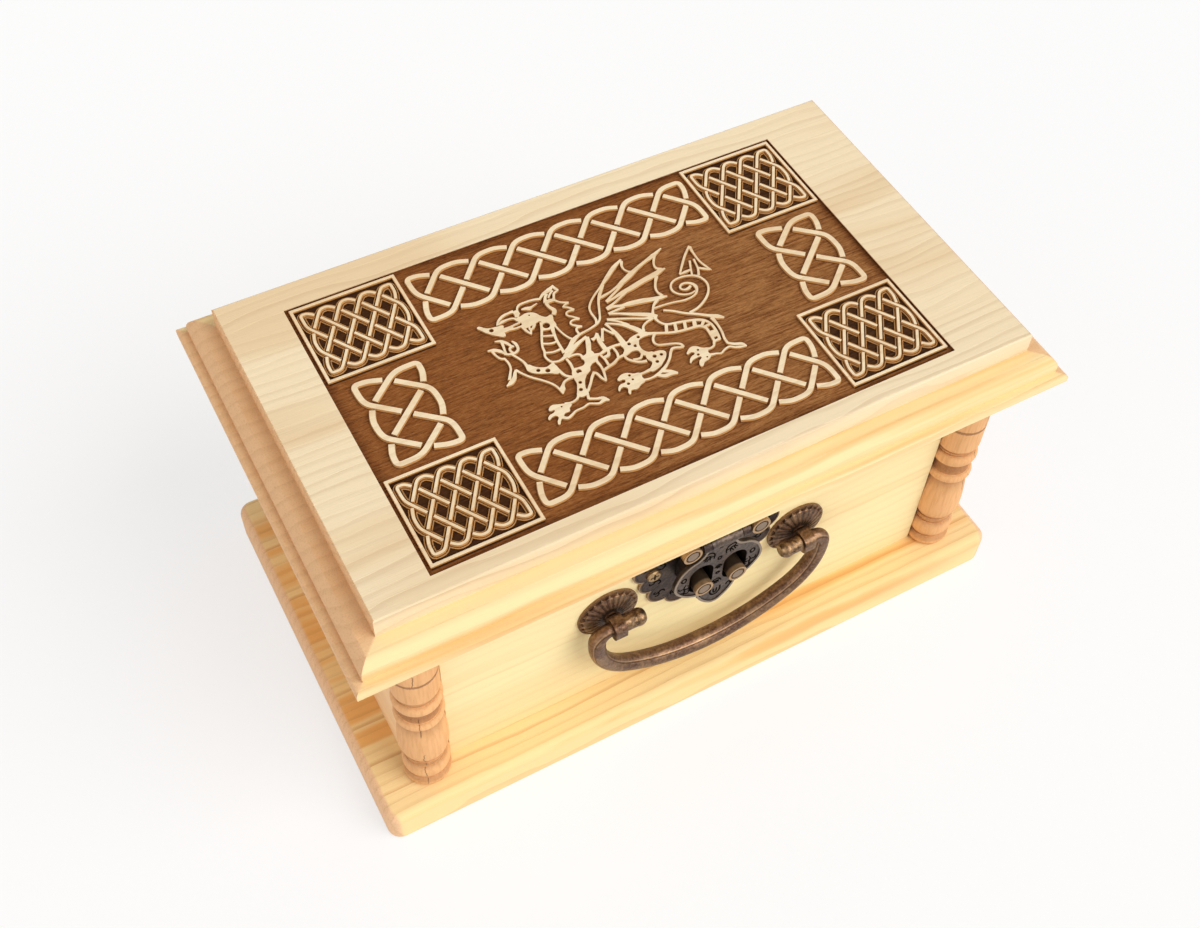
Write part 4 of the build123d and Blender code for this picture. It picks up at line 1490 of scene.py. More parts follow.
WING = DragonPart(
    strokes=(
        # shoulder, then the two lines of the leading finger
        ((-29.4, -3.4, 1.0), (-26.6, -2.0, 1.4), (-23.4, 0.5, 1.9), (-20.0, 2.0, 0.9), (-15.0, 2.8, 0.7),
         (-11.6, 3.7, 0.9)),
        ((-11.6, 3.7, 0.9), (-10.6, 6.0, 0.9), (-10.6, 10.0, 0.8), (-9.6, 13.2, 0.8), (-6.0, 16.9, 0.7),
         (-1.0, 20.3, 0.8), (4.0, 23.9, 1.6), (9.0, 27.5, 1.7), (13.9, 30.1, 0.8)),
        ((-11.6, 3.5, 0.8), (-9.2, 5.4, 0.8), (-7.4, 9.0, 0.8), (-5.2, 13.8, 0.9), (-3.0, 17.0, 1.3),
         (0.8, 21.0, 0.8)),
        # second finger
        ((-4.8, 15.2, 0.8), (-2.4, 15.6, 1.1), (1.6, 16.4, 0.8), (5.4, 17.7, 1.1), (8.4, 18.9, 1.9),
         (12.4, 20.7, 2.2), (17.0, 22.8, 1.5), (22.0, 24.7, 1.2), (26.4, 26.1, 1.8), (31.6, 28.3, 0.5)),
        ((-2.5, 12.5, 1.0), (1.0, 14.3, 1.0), (4.4, 16.0, 0.9), (8.0, 18.2, 1.2)),
        # third finger
        ((-2.5, 12.2, 0.9), (1.2, 12.8, 0.9), (4.4, 13.6, 1.6), (10.0, 14.5, 2.1), (16.0, 15.8, 2.1),
         (21.6, 16.6, 2.3), (25.0, 17.5, 1.7), (27.4, 17.7, 0.5)),
        ((-4.0, 9.2, 1.2), (-0.4, 10.3, 0.9), (4.6, 12.4, 0.9), (7.0, 13.6, 1.2)),
        # fourth finger
        ((-4.2, 8.8, 1.2), (-1.4, 8.9, 1.2), (2.0, 7.8, 1.2), (5.0, 7.4, 2.1), (10.0, 6.5, 2.2),
         (15.0, 5.2, 1.9), (18.4, 4.6, 1.6), (20.6, 4.1, 0.5)),
        ((-4.8, 6.5, 0.9), (-1.4, 6.7, 0.9), (2.6, 6.8, 1.0)),
        # fifth finger
        ((-4.6, 6.3, 0.9), (-1.0, 4.6, 0.9), (3.0, 2.2, 1.4), (6.4, 0.3, 1.8), (9.8, -1.8, 2.0),
         (11.6, -3.6, 1.6)),
        ((-6.8, 4.0, 1.0), (-2.6, 2.3, 0.9), (2.4, 0.0, 0.8), (6.6, -2.2, 0.9), (9.8, -3.2, 1.6)),
        # scalloped edge of the web
        ((13.6, 29.2, 1.2), (12.5, 27.0, 1.0), (12.3, 24.8, 0.7), (13.2, 22.9, 0.9), (14.4, 21.8, 1.6)),
        ((27.4, 26.2, 1.0), (25.4, 23.5, 0.9), (24.3, 21.2, 0.8), (24.3, 19.4, 1.0), (25.8, 17.9, 1.5)),
        ((22.2, 15.6, 1.4), (20.0, 12.6, 0.9), (18.6, 10.0, 0.9), (18.2, 7.8, 0.8), (18.9, 5.2, 1.4)),
        ((16.2, 4.3, 1.4), (13.4, 2.3, 0.9), (11.8, 0.2, 0.8), (10.6, -1.8, 1.2)),
        ((9.6, -3.6, 0.9), (6.4, -4.3, 0.8), (4.2, -5.6, 0.8), (3.0, -8.0, 1.2)),
        # feathers behind the shoulder
        ((-30.0, -5.6, 2.2), (-27.4, -4.0, 2.4), (-24.2, -2.4, 1.8), (-20.4, -0.9, 1.1), (-18.0, -0.3, 1.4)),
        ((-18.0, -0.4, 1.5), (-19.0, -3.4, 1.9), (-20.6, -6.8, 1.7), (-21.6, -9.2, 2.4)),
        ((-13.6, -0.4, 0.9), (-15.4, -2.2, 1.0), (-17.0, -2.6, 1.4)),
        ((-13.8, -0.6, 1.1), (-14.6, -4.4, 1.6), (-14.6, -9.2, 1.8)),
        ((-10.6, 0.7, 1.0), (-12.0, -1.9, 0.9), (-13.8, -5.0, 1.4)),
        ((-10.5, 0.7, 1.0), (-9.2, -1.6, 0.8), (-7.8, -3.8, 1.2)),
        ((-8.4, 2.4, 1.0), (-7.7, -0.6, 0.9), (-7.1, -4.0, 1.6), (-6.9, -9.6, 2.2)),
        ((-8.2, 2.4, 0.9), (-5.4, 0.8, 0.8), (-2.6, -1.3, 1.2), (0.0, -4.2, 2.0), (1.7, -7.0, 2.2),
         (2.0, -9.0, 2.2)),
        ((-6.6, 3.8, 0.9), (-3.8, 1.6, 0.9), (-1.8, -0.6, 0.9), (-0.6, -2.6, 1.4)),
    ),
)

TAIL = DragonPart(
    strokes=(
        ((12.6, 0.8, 0.8), (17.0, 0.6, 0.7), (21.0, 0.1, 0.7), (26.0, -0.9, 0.8), (30.0, -0.5, 0.7),
         (32.4, 1.0, 0.9), (33.4, 3.6, 1.4), (32.6, 5.6, 1.2), (30.8, 6.9, 0.9), (28.6, 6.9, 0.8),
         (27.4, 5.4, 0.8), (28.4, 4.0, 0.8), (30.2, 3.9, 1.2), (31.8, 4.8, 0.9)),
        ((32.0, 1.5, 0.6), (29.8, 1.1, 0.7), (27.2, 1.7, 0.8), (24.9, 3.4, 0.8), (23.9, 5.8, 0.9),
         (24.7, 8.4, 0.8), (26.8, 10.1, 0.7), (30.2, 10.6, 0.7), (33.6, 10.0, 0.8), (36.6, 8.3, 1.1),
         (37.9, 6.2, 0.9), (38.4, 3.4, 0.9), (37.6, 0.6, 0.8), (35.4, -2.4, 0.9), (32.0, -5.0, 0.9),
         (28.0, -6.9, 0.9), (24.2, -7.6, 1.1)),
        # arrowhead
        ((35.3, 9.6, 0.7), (36.6, 12.8, 0.7), (38.5, 16.9, 0.9)),
        ((37.6, 8.2, 1.0), (39.2, 11.4, 0.8), (39.8, 14.0, 0.7), (40.4, 17.0, 0.9)),
        ((36.6, 12.4, 0.8), (33.6, 12.3, 1.2), (30.9, 12.0, 0.5)),
        ((31.0, 12.1, 0.7), (34.4, 16.1, 0.9), (38.4, 20.5, 0.9), (42.5, 24.2, 0.8)),
        ((42.4, 23.8, 1.4), (42.0, 20.0, 0.8), (41.9, 15.0, 0.8), (42.7, 11.4, 0.9), (43.7, 8.5, 0.5)),
        ((43.4, 8.9, 0.8), (41.2, 10.5, 1.2), (39.6, 11.8, 0.8)),
    ),
)

RAISED_LEG = DragonPart(
    strokes=(
        # claws
        ((-55.3, 10.5, 0.5), (-53.0, 9.8, 1.5), (-51.0, 8.2, 1.4), (-50.0, 6.4, 0.8)),
        ((-53.8, 9.6, 1.0), (-53.4, 7.0, 0.8), (-52.5, 4.9, 0.8), (-51.0, 4.0, 0.9)),
        ((-50.8, 13.6, 0.4), (-48.6, 12.7, 1.2), (-47.0, 10.8, 1.2), (-46.0, 8.4, 0.9)),
        ((-48.4, 12.4, 1.2), (-48.9, 9.6, 0.9), (-49.4, 7.2, 0.8), (-49.5, 5.6, 0.9)),
        ((-44.8, 10.9, 0.6), (-44.1, 9.0, 1.2), (-44.4, 6.2, 1.0), (-46.2, 5.0, 1.0), (-48.6, 5.3, 0.9),
         (-50.3, 6.4, 0.8)),
        ((-45.2, 8.4, 0.9), (-47.0, 8.0, 0.9), (-47.4, 6.4, 0.9), (-46.8, 5.1, 0.9)),
        # forearm, with the spur behind it
        ((-51.2, 4.2, 0.8), (-50.8, 1.5, 0.8), (-51.2, -1.2, 0.8), (-52.6, -3.6, 0.9), (-54.2, -6.2, 1.2)),
        ((-47.8, 5.0, 0.9), (-46.4, 2.0, 0.8), (-45.4, -0.8, 0.9), (-45.2, -3.6, 1.3)),
        ((-56.5, -8.5, 0.4), (-54.2, -7.6, 1.9), (-52.2, -6.2, 1.6), (-50.8, -4.0, 1.1), (-49.7, -2.8, 1.0)),
        ((-49.9, -2.8, 1.0), (-48.8, -5.0, 0.8), (-46.4, -8.6, 0.8), (-43.0, -12.2, 0.8), (-40.6, -15.4, 0.8),
         (-39.6, -18.0, 0.8), (-39.2, -21.2, 0.7)),
        ((-39.3, -21.3, 0.4), (-38.3, -19.0, 2.1), (-37.2, -17.4, 1.0), (-36.0, -16.3, 0.8),
         (-33.6, -15.8, 0.9), (-31.0, -16.0, 1.2)),
    ),
    patches=(
        Patch(((-46.1, -4.4), (-44.8, -2.6), (-43.0, -4.4), (-41.4, -5.7), (-38.8, -6.8), (-36.2, -6.4),
               (-35.0, -9.6), (-35.4, -11.6), (-39.6, -9.9), (-43.0, -8.4), (-45.3, -6.6)),
              ((-42.4, -6.9, 0.85), (-39.2, -8.6, 1.0))),
    ),
)

STANDING_LEG = DragonPart(
    strokes=(
        ((-34.2, -24.4, 1.0), (-36.0, -26.0, 0.8), (-38.6, -26.5, 0.8), (-41.0, -26.0, 1.2)),
        ((-30.3, -24.4, 1.0), (-27.6, -21.4, 0.9), (-25.6, -18.9, 1.0), (-23.8, -17.2, 1.0)),
        ((-31.0, -24.8, 1.1), (-31.9, -28.0, 1.0)),
        ((-31.9, -27.8, 1.0), (-29.4, -29.1, 0.9), (-26.8, -30.1, 1.4), (-25.3, -32.0, 0.6)),
        ((-45.2, -30.8, 1.4), (-43.0, -32.4, 1.0), (-41.0, -31.8, 0.9), (-38.8, -30.8, 0.7),
         (-35.4, -30.6, 0.7), (-33.0, -30.0, 0.7), (-31.0, -30.9, 0.8), (-29.2, -31.6, 0.9),
         (-27.0, -31.0, 1.4), (-25.3, -31.9, 0.6)),
    ),
    patches=(
        Patch(((-31.7, -16.0), (-27.0, -16.0), (-28.8, -19.2), (-30.4, -22.8), (-30.4, -25.1), (-34.8, -25.2),
               (-33.8, -22.2), (-32.4, -19.4)), ((-31.0, -19.4, 0.75), (-32.4, -22.6, 0.8))),
        Patch(((-47.7, -26.2), (-47.0, -25.0), (-45.6, -24.4), (-43.4, -25.0), (-40.6, -26.0), (-38.8, -27.2),
               (-40.4, -28.6), (-40.8, -29.8), (-43.0, -30.0), (-44.2, -31.2), (-45.6, -32.0), (-47.4, -33.7),
               (-47.2, -32.2), (-46.0, -30.6), (-46.4, -29.6), (-48.0, -29.4), (-49.7, -30.0), (-48.8, -28.4),
               (-46.2, -27.6), (-45.8, -26.9), (-47.0, -26.7)), ((-42.7, -26.6, 0.4),)),
    ),
)

BODY = DragonPart(
    strokes=(
        # breast
        ((-36.0, -6.0, 1.0), (-35.7, -8.8, 1.1), (-35.2, -11.4, 1.1), (-34.4, -13.8, 1.0),
         (-32.6, -15.4, 1.0), (-31.0, -15.7, 1.2)),
        ((-30.2, -6.6, 0.9), (-30.0, -9.6, 1.0), (-30.4, -12.4, 1.0), (-31.2, -15.0, 0.9)),
        ((-29.4, -6.2, 0.9), (-26.4, -6.2, 0.8), (-24.6, -7.2, 0.9), (-24.4, -9.6, 1.1)),
        # back, ribs and belly
        ((-20.4, -10.0, 2.0), (-17.4, -10.3, 0.9), (-14.6, -9.6, 1.6), (-11.0, -9.2, 0.9), (-7.6, -9.7, 1.2)),
        ((-19.4, -10.4, 1.2), (-20.4, -13.0, 1.0), (-20.2, -15.8, 0.9), (-20.6, -19.0, 0.9),
         (-21.8, -23.0, 0.8)),
        ((-24.6, -17.3, 1.0), (-23.4, -18.2, 1.0), (-22.7, -21.2, 1.0), (-21.9, -23.3, 0.6)),
        ((-17.8, -10.6, 0.8), (-17.2, -13.4, 0.9), (-17.3, -16.8, 1.0)),
        ((-16.8, -12.6, 1.2), (-14.9, -12.2, 1.3), (-13.8, -10.0, 0.9)),
        ((-11.6, -9.8, 0.9), (-11.5, -12.8, 0.9), (-12.2, -15.4, 1.0)),
        ((-20.4, -18.2, 0.9), (-17.6, -17.4, 1.0), (-14.8, -16.7, 1.1), (-12.4, -15.4, 0.9),
         (-9.6, -15.0, 1.1)),
        # round scales over the near thigh
        ((-9.7, -14.6, 0.9), (-9.5, -17.2, 1.0), (-7.8, -19.4, 1.0), (-5.6, -21.0, 1.0), (-3.2, -21.6, 1.2)),
        ((-8.8, -14.8, 0.9), (-5.4, -14.3, 0.9), (-3.3, -15.4, 1.0), (-2.9, -17.6, 1.0), (-1.6, -18.9, 1.2)),
        ((-2.9, -17.4, 0.9), (-4.8, -19.2, 0.9), (-7.6, -18.7, 0.9)),
        ((-1.6, -11.2, 1.2), (-2.5, -13.2, 1.0), (-2.5, -15.8, 1.0), (-1.2, -18.2, 1.2), (0.8, -18.9, 0.9)),
        ((6.4, -10.8, 1.0), (4.6, -12.6, 0.9), (3.8, -14.8, 0.9), (4.6, -16.5, 0.9), (7.0, -17.5, 0.9),
         (10.6, -18.8, 0.8), (12.6, -20.2, 1.0), (13.0, -21.9, 0.9)),
        # near shin
        ((-9.8, -26.2, 1.0), (-7.0, -26.2, 0.9), (-4.2, -26.0, 1.2)),
        ((13.0, -21.8, 0.9), (11.6, -21.5, 1.0), (8.9, -20.6, 1.0), (7.4, -21.6, 1.0), (5.4, -24.2, 0.9),
         (3.0, -26.4, 0.9), (0.0, -28.3, 1.4), (-3.2, -29.4, 1.0), (-6.0, -29.8, 0.7), (-9.2, -29.4, 0.9)),
        ((-3.4, -29.5, 1.0), (-0.8, -31.2, 1.6), (1.8, -31.4, 1.4), (4.3, -32.4, 0.5)),
        ((-0.4, -28.8, 1.4), (2.4, -30.4, 1.4), (4.4, -32.2, 0.6)),
    ),
    patches=(
        Patch(((-24.8, -8.9), (-22.6, -8.0), (-20.4, -6.8), (-19.6, -10.8), (-20.4, -12.8), (-22.4, -13.2),
               (-24.0, -14.4), (-25.0, -16.1), (-31.6, -16.5), (-30.4, -12.4), (-28.0, -12.5), (-25.6, -12.3),
               (-24.6, -10.8)), ((-28.9, -14.4, 1.1),)),
        Patch(((-8.2, -9.2), (-5.4, -9.6), (-3.4, -8.5), (0.6, -7.9), (2.8, -8.0), (4.4, -10.0), (1.6, -10.4),
               (-0.6, -10.9), (-1.9, -12.4), (-2.4, -15.0), (-5.8, -14.8), (-9.8, -15.3), (-8.2, -12.6)),
              ((-3.5, -12.9, 0.75), (-0.3, -9.5, 0.7), (-5.2, -11.0, 0.75))),
        Patch(((-1.8, -18.4), (1.4, -18.9), (4.2, -19.5), (5.4, -20.6), (4.6, -22.8), (2.2, -24.9),
               (-0.4, -26.5), (-4.8, -26.4), (-3.2, -24.8), (-1.8, -23.0), (-2.6, -21.2)),
               ((0.5, -20.9, 0.85), (3.3, -21.3, 0.7), (0.1, -23.7, 0.75))),
        Patch(((-17.9, -25.2), (-16.8, -23.8), (-13.6, -23.2), (-11.0, -24.8), (-8.4, -25.9), (-8.8, -28.0),
               (-8.6, -29.8), (-11.0, -30.8), (-13.2, -32.0), (-15.6, -31.6), (-16.9, -33.1),
               (-17.2, -32.2), (-16.4, -30.2), (-17.4, -29.0), (-18.6, -29.0), (-19.9, -29.9),
               (-19.6, -28.6), (-18.2, -27.4), (-15.6, -26.9), (-15.5, -25.8)), ((-12.8, -24.9, 0.6),
               (-15.1, -28.3, 0.65), (-12.6, -27.2, 0.5))),
    ),
)

HIND_LEG = DragonPart(
    strokes=(
        ((15.4, -1.8, 0.8), (18.4, -3.7, 0.9), (22.0, -6.8, 1.0), (26.0, -9.4, 1.1), (30.2, -12.5, 1.3),
         (32.8, -14.3, 2.1), (34.9, -16.0, 0.9)),
        ((10.4, -3.4, 1.4), (10.8, -6.2, 0.9), (12.6, -8.6, 0.9), (17.0, -9.9, 0.9), (22.0, -11.2, 1.0),
         (26.0, -12.9, 1.2), (28.2, -15.4, 1.0), (28.6, -18.4, 1.0), (28.2, -22.0, 1.0), (27.4, -25.0, 1.1)),
        ((2.4, -9.2, 1.6), (5.4, -10.3, 1.3), (9.2, -12.0, 1.0), (12.0, -13.2, 1.0), (15.6, -14.2, 1.0),
         (20.0, -14.8, 1.0), (23.8, -15.4, 1.2), (25.6, -17.4, 1.1), (25.6, -20.4, 1.0), (25.1, -24.8, 1.0)),
        ((12.6, -8.9, 1.2), (10.8, -12.4, 1.2)),
        ((15.9, -9.9, 1.2), (14.4, -13.8, 1.2)),
        ((19.7, -10.8, 1.2), (18.2, -14.6, 1.2)),
        ((23.4, -12.0, 1.4), (22.2, -15.0, 1.6)),
        ((26.8, -13.8, 1.2), (24.6, -15.8, 1.0)),
        ((25.6, -16.6, 1.1), (28.4, -16.4, 1.1)),
        ((27.0, -19.6, 2.2), (26.9, -21.4, 3.0), (26.8, -23.0, 2.0)),
        ((27.6, -24.8, 1.0), (25.0, -24.9, 1.0), (23.8, -26.6, 0.8), (21.8, -27.2, 0.8), (19.8, -26.6, 1.2)),
        # shin and heel
        ((30.5, -13.6, 1.6), (30.6, -18.0, 0.9), (30.2, -22.0, 0.9), (29.3, -25.4, 0.9), (29.2, -28.2, 1.0)),
        ((29.1, -28.0, 1.0), (31.2, -29.6, 1.2), (34.0, -31.0, 1.3), (35.0, -32.7, 0.5)),
        ((19.6, -30.0, 1.2), (22.4, -30.6, 0.7), (24.2, -31.3, 0.7), (26.2, -30.4, 0.7), (28.8, -29.9, 0.8),
         (30.6, -31.2, 0.9), (32.2, -31.8, 1.1), (34.9, -32.6, 0.5)),
    ),
    patches=(
        Patch(((12.2, -25.8), (13.0, -24.6), (15.4, -23.3), (17.2, -23.8), (18.8, -25.4), (20.8, -26.9),
               (20.0, -28.8), (20.3, -30.2), (18.8, -31.6), (16.4, -32.2), (14.1, -33.7), (13.8, -32.8),
               (14.8, -30.8), (16.4, -29.4), (14.0, -29.1), (12.2, -29.6), (11.1, -30.3), (11.4, -29.2),
               (13.0, -27.6), (15.0, -26.7), (14.2, -25.7)), ((17.0, -25.8, 0.5), (15.9, -27.9, 0.6),
                                                             (18.4, -30.5, 0.4))),
    ),
)


@dataclass
class HeraldicDragon:
    """The dragon passant in the middle of the field: line-work of one height, cut with a tapering gouge."""

    material: bpy.types.Material
    parts: tuple[DragonPart, ...] = (HEAD, NECK, WING, TAIL, RAISED_LEG, STANDING_LEG, BODY, HIND_LEG)
    shift: Point = (1.2, 0.5)
    foot_half: float = 0.66
    top_half: float = 0.52

    def line_work(self) -> bpy.types.Object:
        """Every stroke as a tapering bar of one height.

        Returns:
            The bars as one object.
        """
        lines = [
            smooth_line([(x + self.shift[0], y + self.shift[1], width) for x, y, width in stroke])
            for part in self.parts for stroke in part.strokes]
        outline = [(self.foot_half, 0.0), (self.top_half, 1.0), (-self.top_half, 1.0), (-self.foot_half, 0.0)]
        item = strips("heraldic_dragon", lines, outline, FIELD.floor, steps=5)
        flatten(item, FIELD.floor + 0.05, FIELD.top - 0.02)
        close_up(item)
        return item

    def solid_areas(self) -> bpy.types.Object:
        """Every patch, with its holes.

        Returns:
            The patches as one object.
        """
        solids = [self.solid(patch) for part in self.parts for patch in part.patches]
        hold(*solids)
        bpy.ops.object.join()
        return bpy.context.object

    def solid(self, patch: Patch) -> bpy.types.Object:
        """One patch as a closed slab.

        Args:
            patch: the patch.

        Returns:
            The slab.
        """
        data = bpy.data.curves.new("dragon_patch", "CURVE")
        data.dimensions, data.fill_mode = "2D", "BOTH"
        half_height = (FIELD.top - FIELD.floor) / 2
        data.extrude = (half_height - 0.03) * MM
        data.resolution_u = 4
        self.closed(data, patch.outline)
        for x, y, radius in patch.holes:
            self.closed(data, [(x + radius, y), (x, y + radius), (x - radius, y), (x, y - radius)])
        item = bpy.data.objects.new("dragon_patch", data)
        bpy.context.scene.collection.objects.link(item)
        item.location = (0.0, 0.0, (FIELD.floor + half_height) * MM)
        hold(item)
        bpy.ops.object.convert(target="MESH")
        item = settle(bpy.context.object)
        close_up(item)
        return item

    def closed(self, data: bpy.types.Curve, points: Sequence[Point]) -> None:
        """Adds a smooth closed outline to a flat curve.

        Args:
            data: the curve.
            points: the outline's points, in millimetres.
        """
        spline = data.splines.new("BEZIER")
        spline.bezier_points.add(len(points) - 1)
        for point, (x, y) in zip(spline.bezier_points, points):
            point.co = ((x + self.shift[0]) * MM, (y + self.shift[1]) * MM, 0.0)
            point.handle_left_type = point.handle_right_type = "AUTO"
        spline.use_cyclic_u = True

    def build(self) -> None:
        """Cuts the dragon as one piece."""
        item, areas = self.line_work(), self.solid_areas()
        apply_modifier(item, "BOOLEAN", operation="UNION", object=areas, solver="EXACT", use_self=True)
        bpy.data.objects.remove(areas)
        smooth(item, 30)
        finish_piece(item, self.material, "lid")


# ---------------------------------------------------------------- the boards


@dataclass
class Carcase:
    """The boards and columns of the box and its lid, which keep their shapes and take their finishes."""

    lid_board: Board = Board("lid_board_pine", heart=(-170.0, 60.0), ring=5.5, wander=4.0, warm_share=0.8,
                             warm_reach=7.0, end_from=137.0, mitre=61.0)
    front: Board = Board("front_pine", heart=(-90.0, 330.0), ring=6.0, pale=(0.94, 0.78, 0.43),
                         band_share=0.28, warm_share=0.2)
    back: Board = Board("back_pine", heart=(90.0, 300.0), ring=6.0, pale=(0.94, 0.74, 0.42), band_share=0.35,
                        warm_share=0.3)
    ends: Board = Board("end_pine", grain=Grain.DEPTH, heart=(280.0, 60.0), ring=5.0,
                        pale=(0.92, 0.62, 0.35), band=(0.66, 0.36, 0.15), band_share=0.6,
                        warm=(0.86, 0.50, 0.23), warm_share=0.6)
    base: Board = Board("base_pine", heart=(190.0, -60.0), ring=4.4, wander=3.0, pale=(0.94, 0.70, 0.35),
                        band=(0.58, 0.28, 0.09), band_share=0.8, warm=(0.88, 0.48, 0.155), warm_share=0.95,
                        warm_reach=9.0, end_pale=(0.90, 0.58, 0.34), seed=3.0)

    def build(self) -> None:
        """Dresses every board and column."""
        wall_nodes = {"front_wall": self.front, "lid_front_rail": self.front,
                      "back_wall": self.back, "lid_back_rail": self.back,
                      "left_end_wall": self.ends, "right_end_wall": self.ends,
                      "lid_left_rail": self.ends, "lid_right_rail": self.ends}
        made = {board.name: board.material() for board in (self.front, self.back, self.ends)}
        for name, board in wall_nodes.items():
            dress_node(name, made[board.name])
        dress_node("base_board", self.base.material())
        dress_node("lid_board", self.lid_board.material())
        turned = TurnedWood().material()
        for name in sorted(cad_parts):
            if name.endswith("_column"):
                dress_node(name, turned)


LEAF = (
    ((0.0, 0.0, 1.0), (1.6, 1.2, 0.9), (2.2, 3.0, 0.7), (1.0, 3.9, 0.8), (0.3, 2.9, 0.6)),
    ((1.7, 1.2, 0.8), (3.4, 0.6, 0.8), (4.6, 1.7, 0.6), (4.0, 2.8, 0.8)),
    ((0.2, 0.0, 0.8), (0.6, -1.8, 0.8), (2.2, -2.4, 0.6)),
)

SCROLL = (
    ((0.0, 0.0, 0.7), (1.9, 0.5, 0.9), (3.8, 0.1, 0.8), (5.4, 0.6, 0.5)),
    ((1.0, 0.3, 0.6), (0.5, 1.5, 0.8), (1.5, 2.2, 0.7), (2.3, 1.5, 0.6)),
    ((3.2, 0.2, 0.6), (3.0, 1.5, 0.8), (4.1, 1.9, 0.7), (4.6, 1.1, 0.6)),
    ((1.6, 0.3, 0.6), (1.3, -1.2, 0.8), (2.2, -1.8, 0.7)),
    ((3.6, 0.0, 0.6), (3.5, -1.4, 0.8), (4.5, -1.8, 0.7)),
)

RING = (((0.0, 1.2, 0.8), (0.8, 0.5, 0.9), (0.7, -0.7, 0.8), (0.0, -1.2, 0.8), (-0.7, -0.7, 0.9),
         (-0.8, 0.5, 0.8), (0.0, 1.2, 0.8)),)

KNOT = (
    ((-2.6, -0.8, 0.6), (-1.6, 1.2, 0.9), (0.0, 1.9, 0.8), (1.6, 1.2, 0.9), (2.6, -0.8, 0.6)),
    ((-1.4, -1.4, 0.7), (0.0, 0.4, 0.9), (1.4, -1.4, 0.7)),
    ((-2.2, 0.6, 0.6), (-0.6, -0.2, 0.8), (-0.4, -2.0, 0.7)),
    ((2.2, 0.6, 0.6), (0.6, -0.2, 0.8), (0.4, -2.0, 0.7)),
)

HOOP = (
    ((-2.4, 2.6, 0.9), (-2.5, -0.4, 1.0), (-1.3, -2.6, 1.0), (0.0, -3.1, 1.0), (1.3, -2.6, 1.0),
     (2.5, -0.4, 1.0), (2.4, 2.6, 0.9)),
    ((-0.8, 1.8, 0.8), (-0.7, -0.6, 0.9), (0.0, -1.4, 0.9), (0.7, -0.6, 0.9), (0.8, 1.8, 0.8)),
)


@dataclass(frozen=True)
class Motif:
    """An engraved motif: its strokes, its place across and up, and its size and turn."""

    strokes: tuple[tuple[tuple[float, float, float], ...], ...]
    place: Point
    size: float = 1.0
    turn: float = 0.0
    paired: bool = True


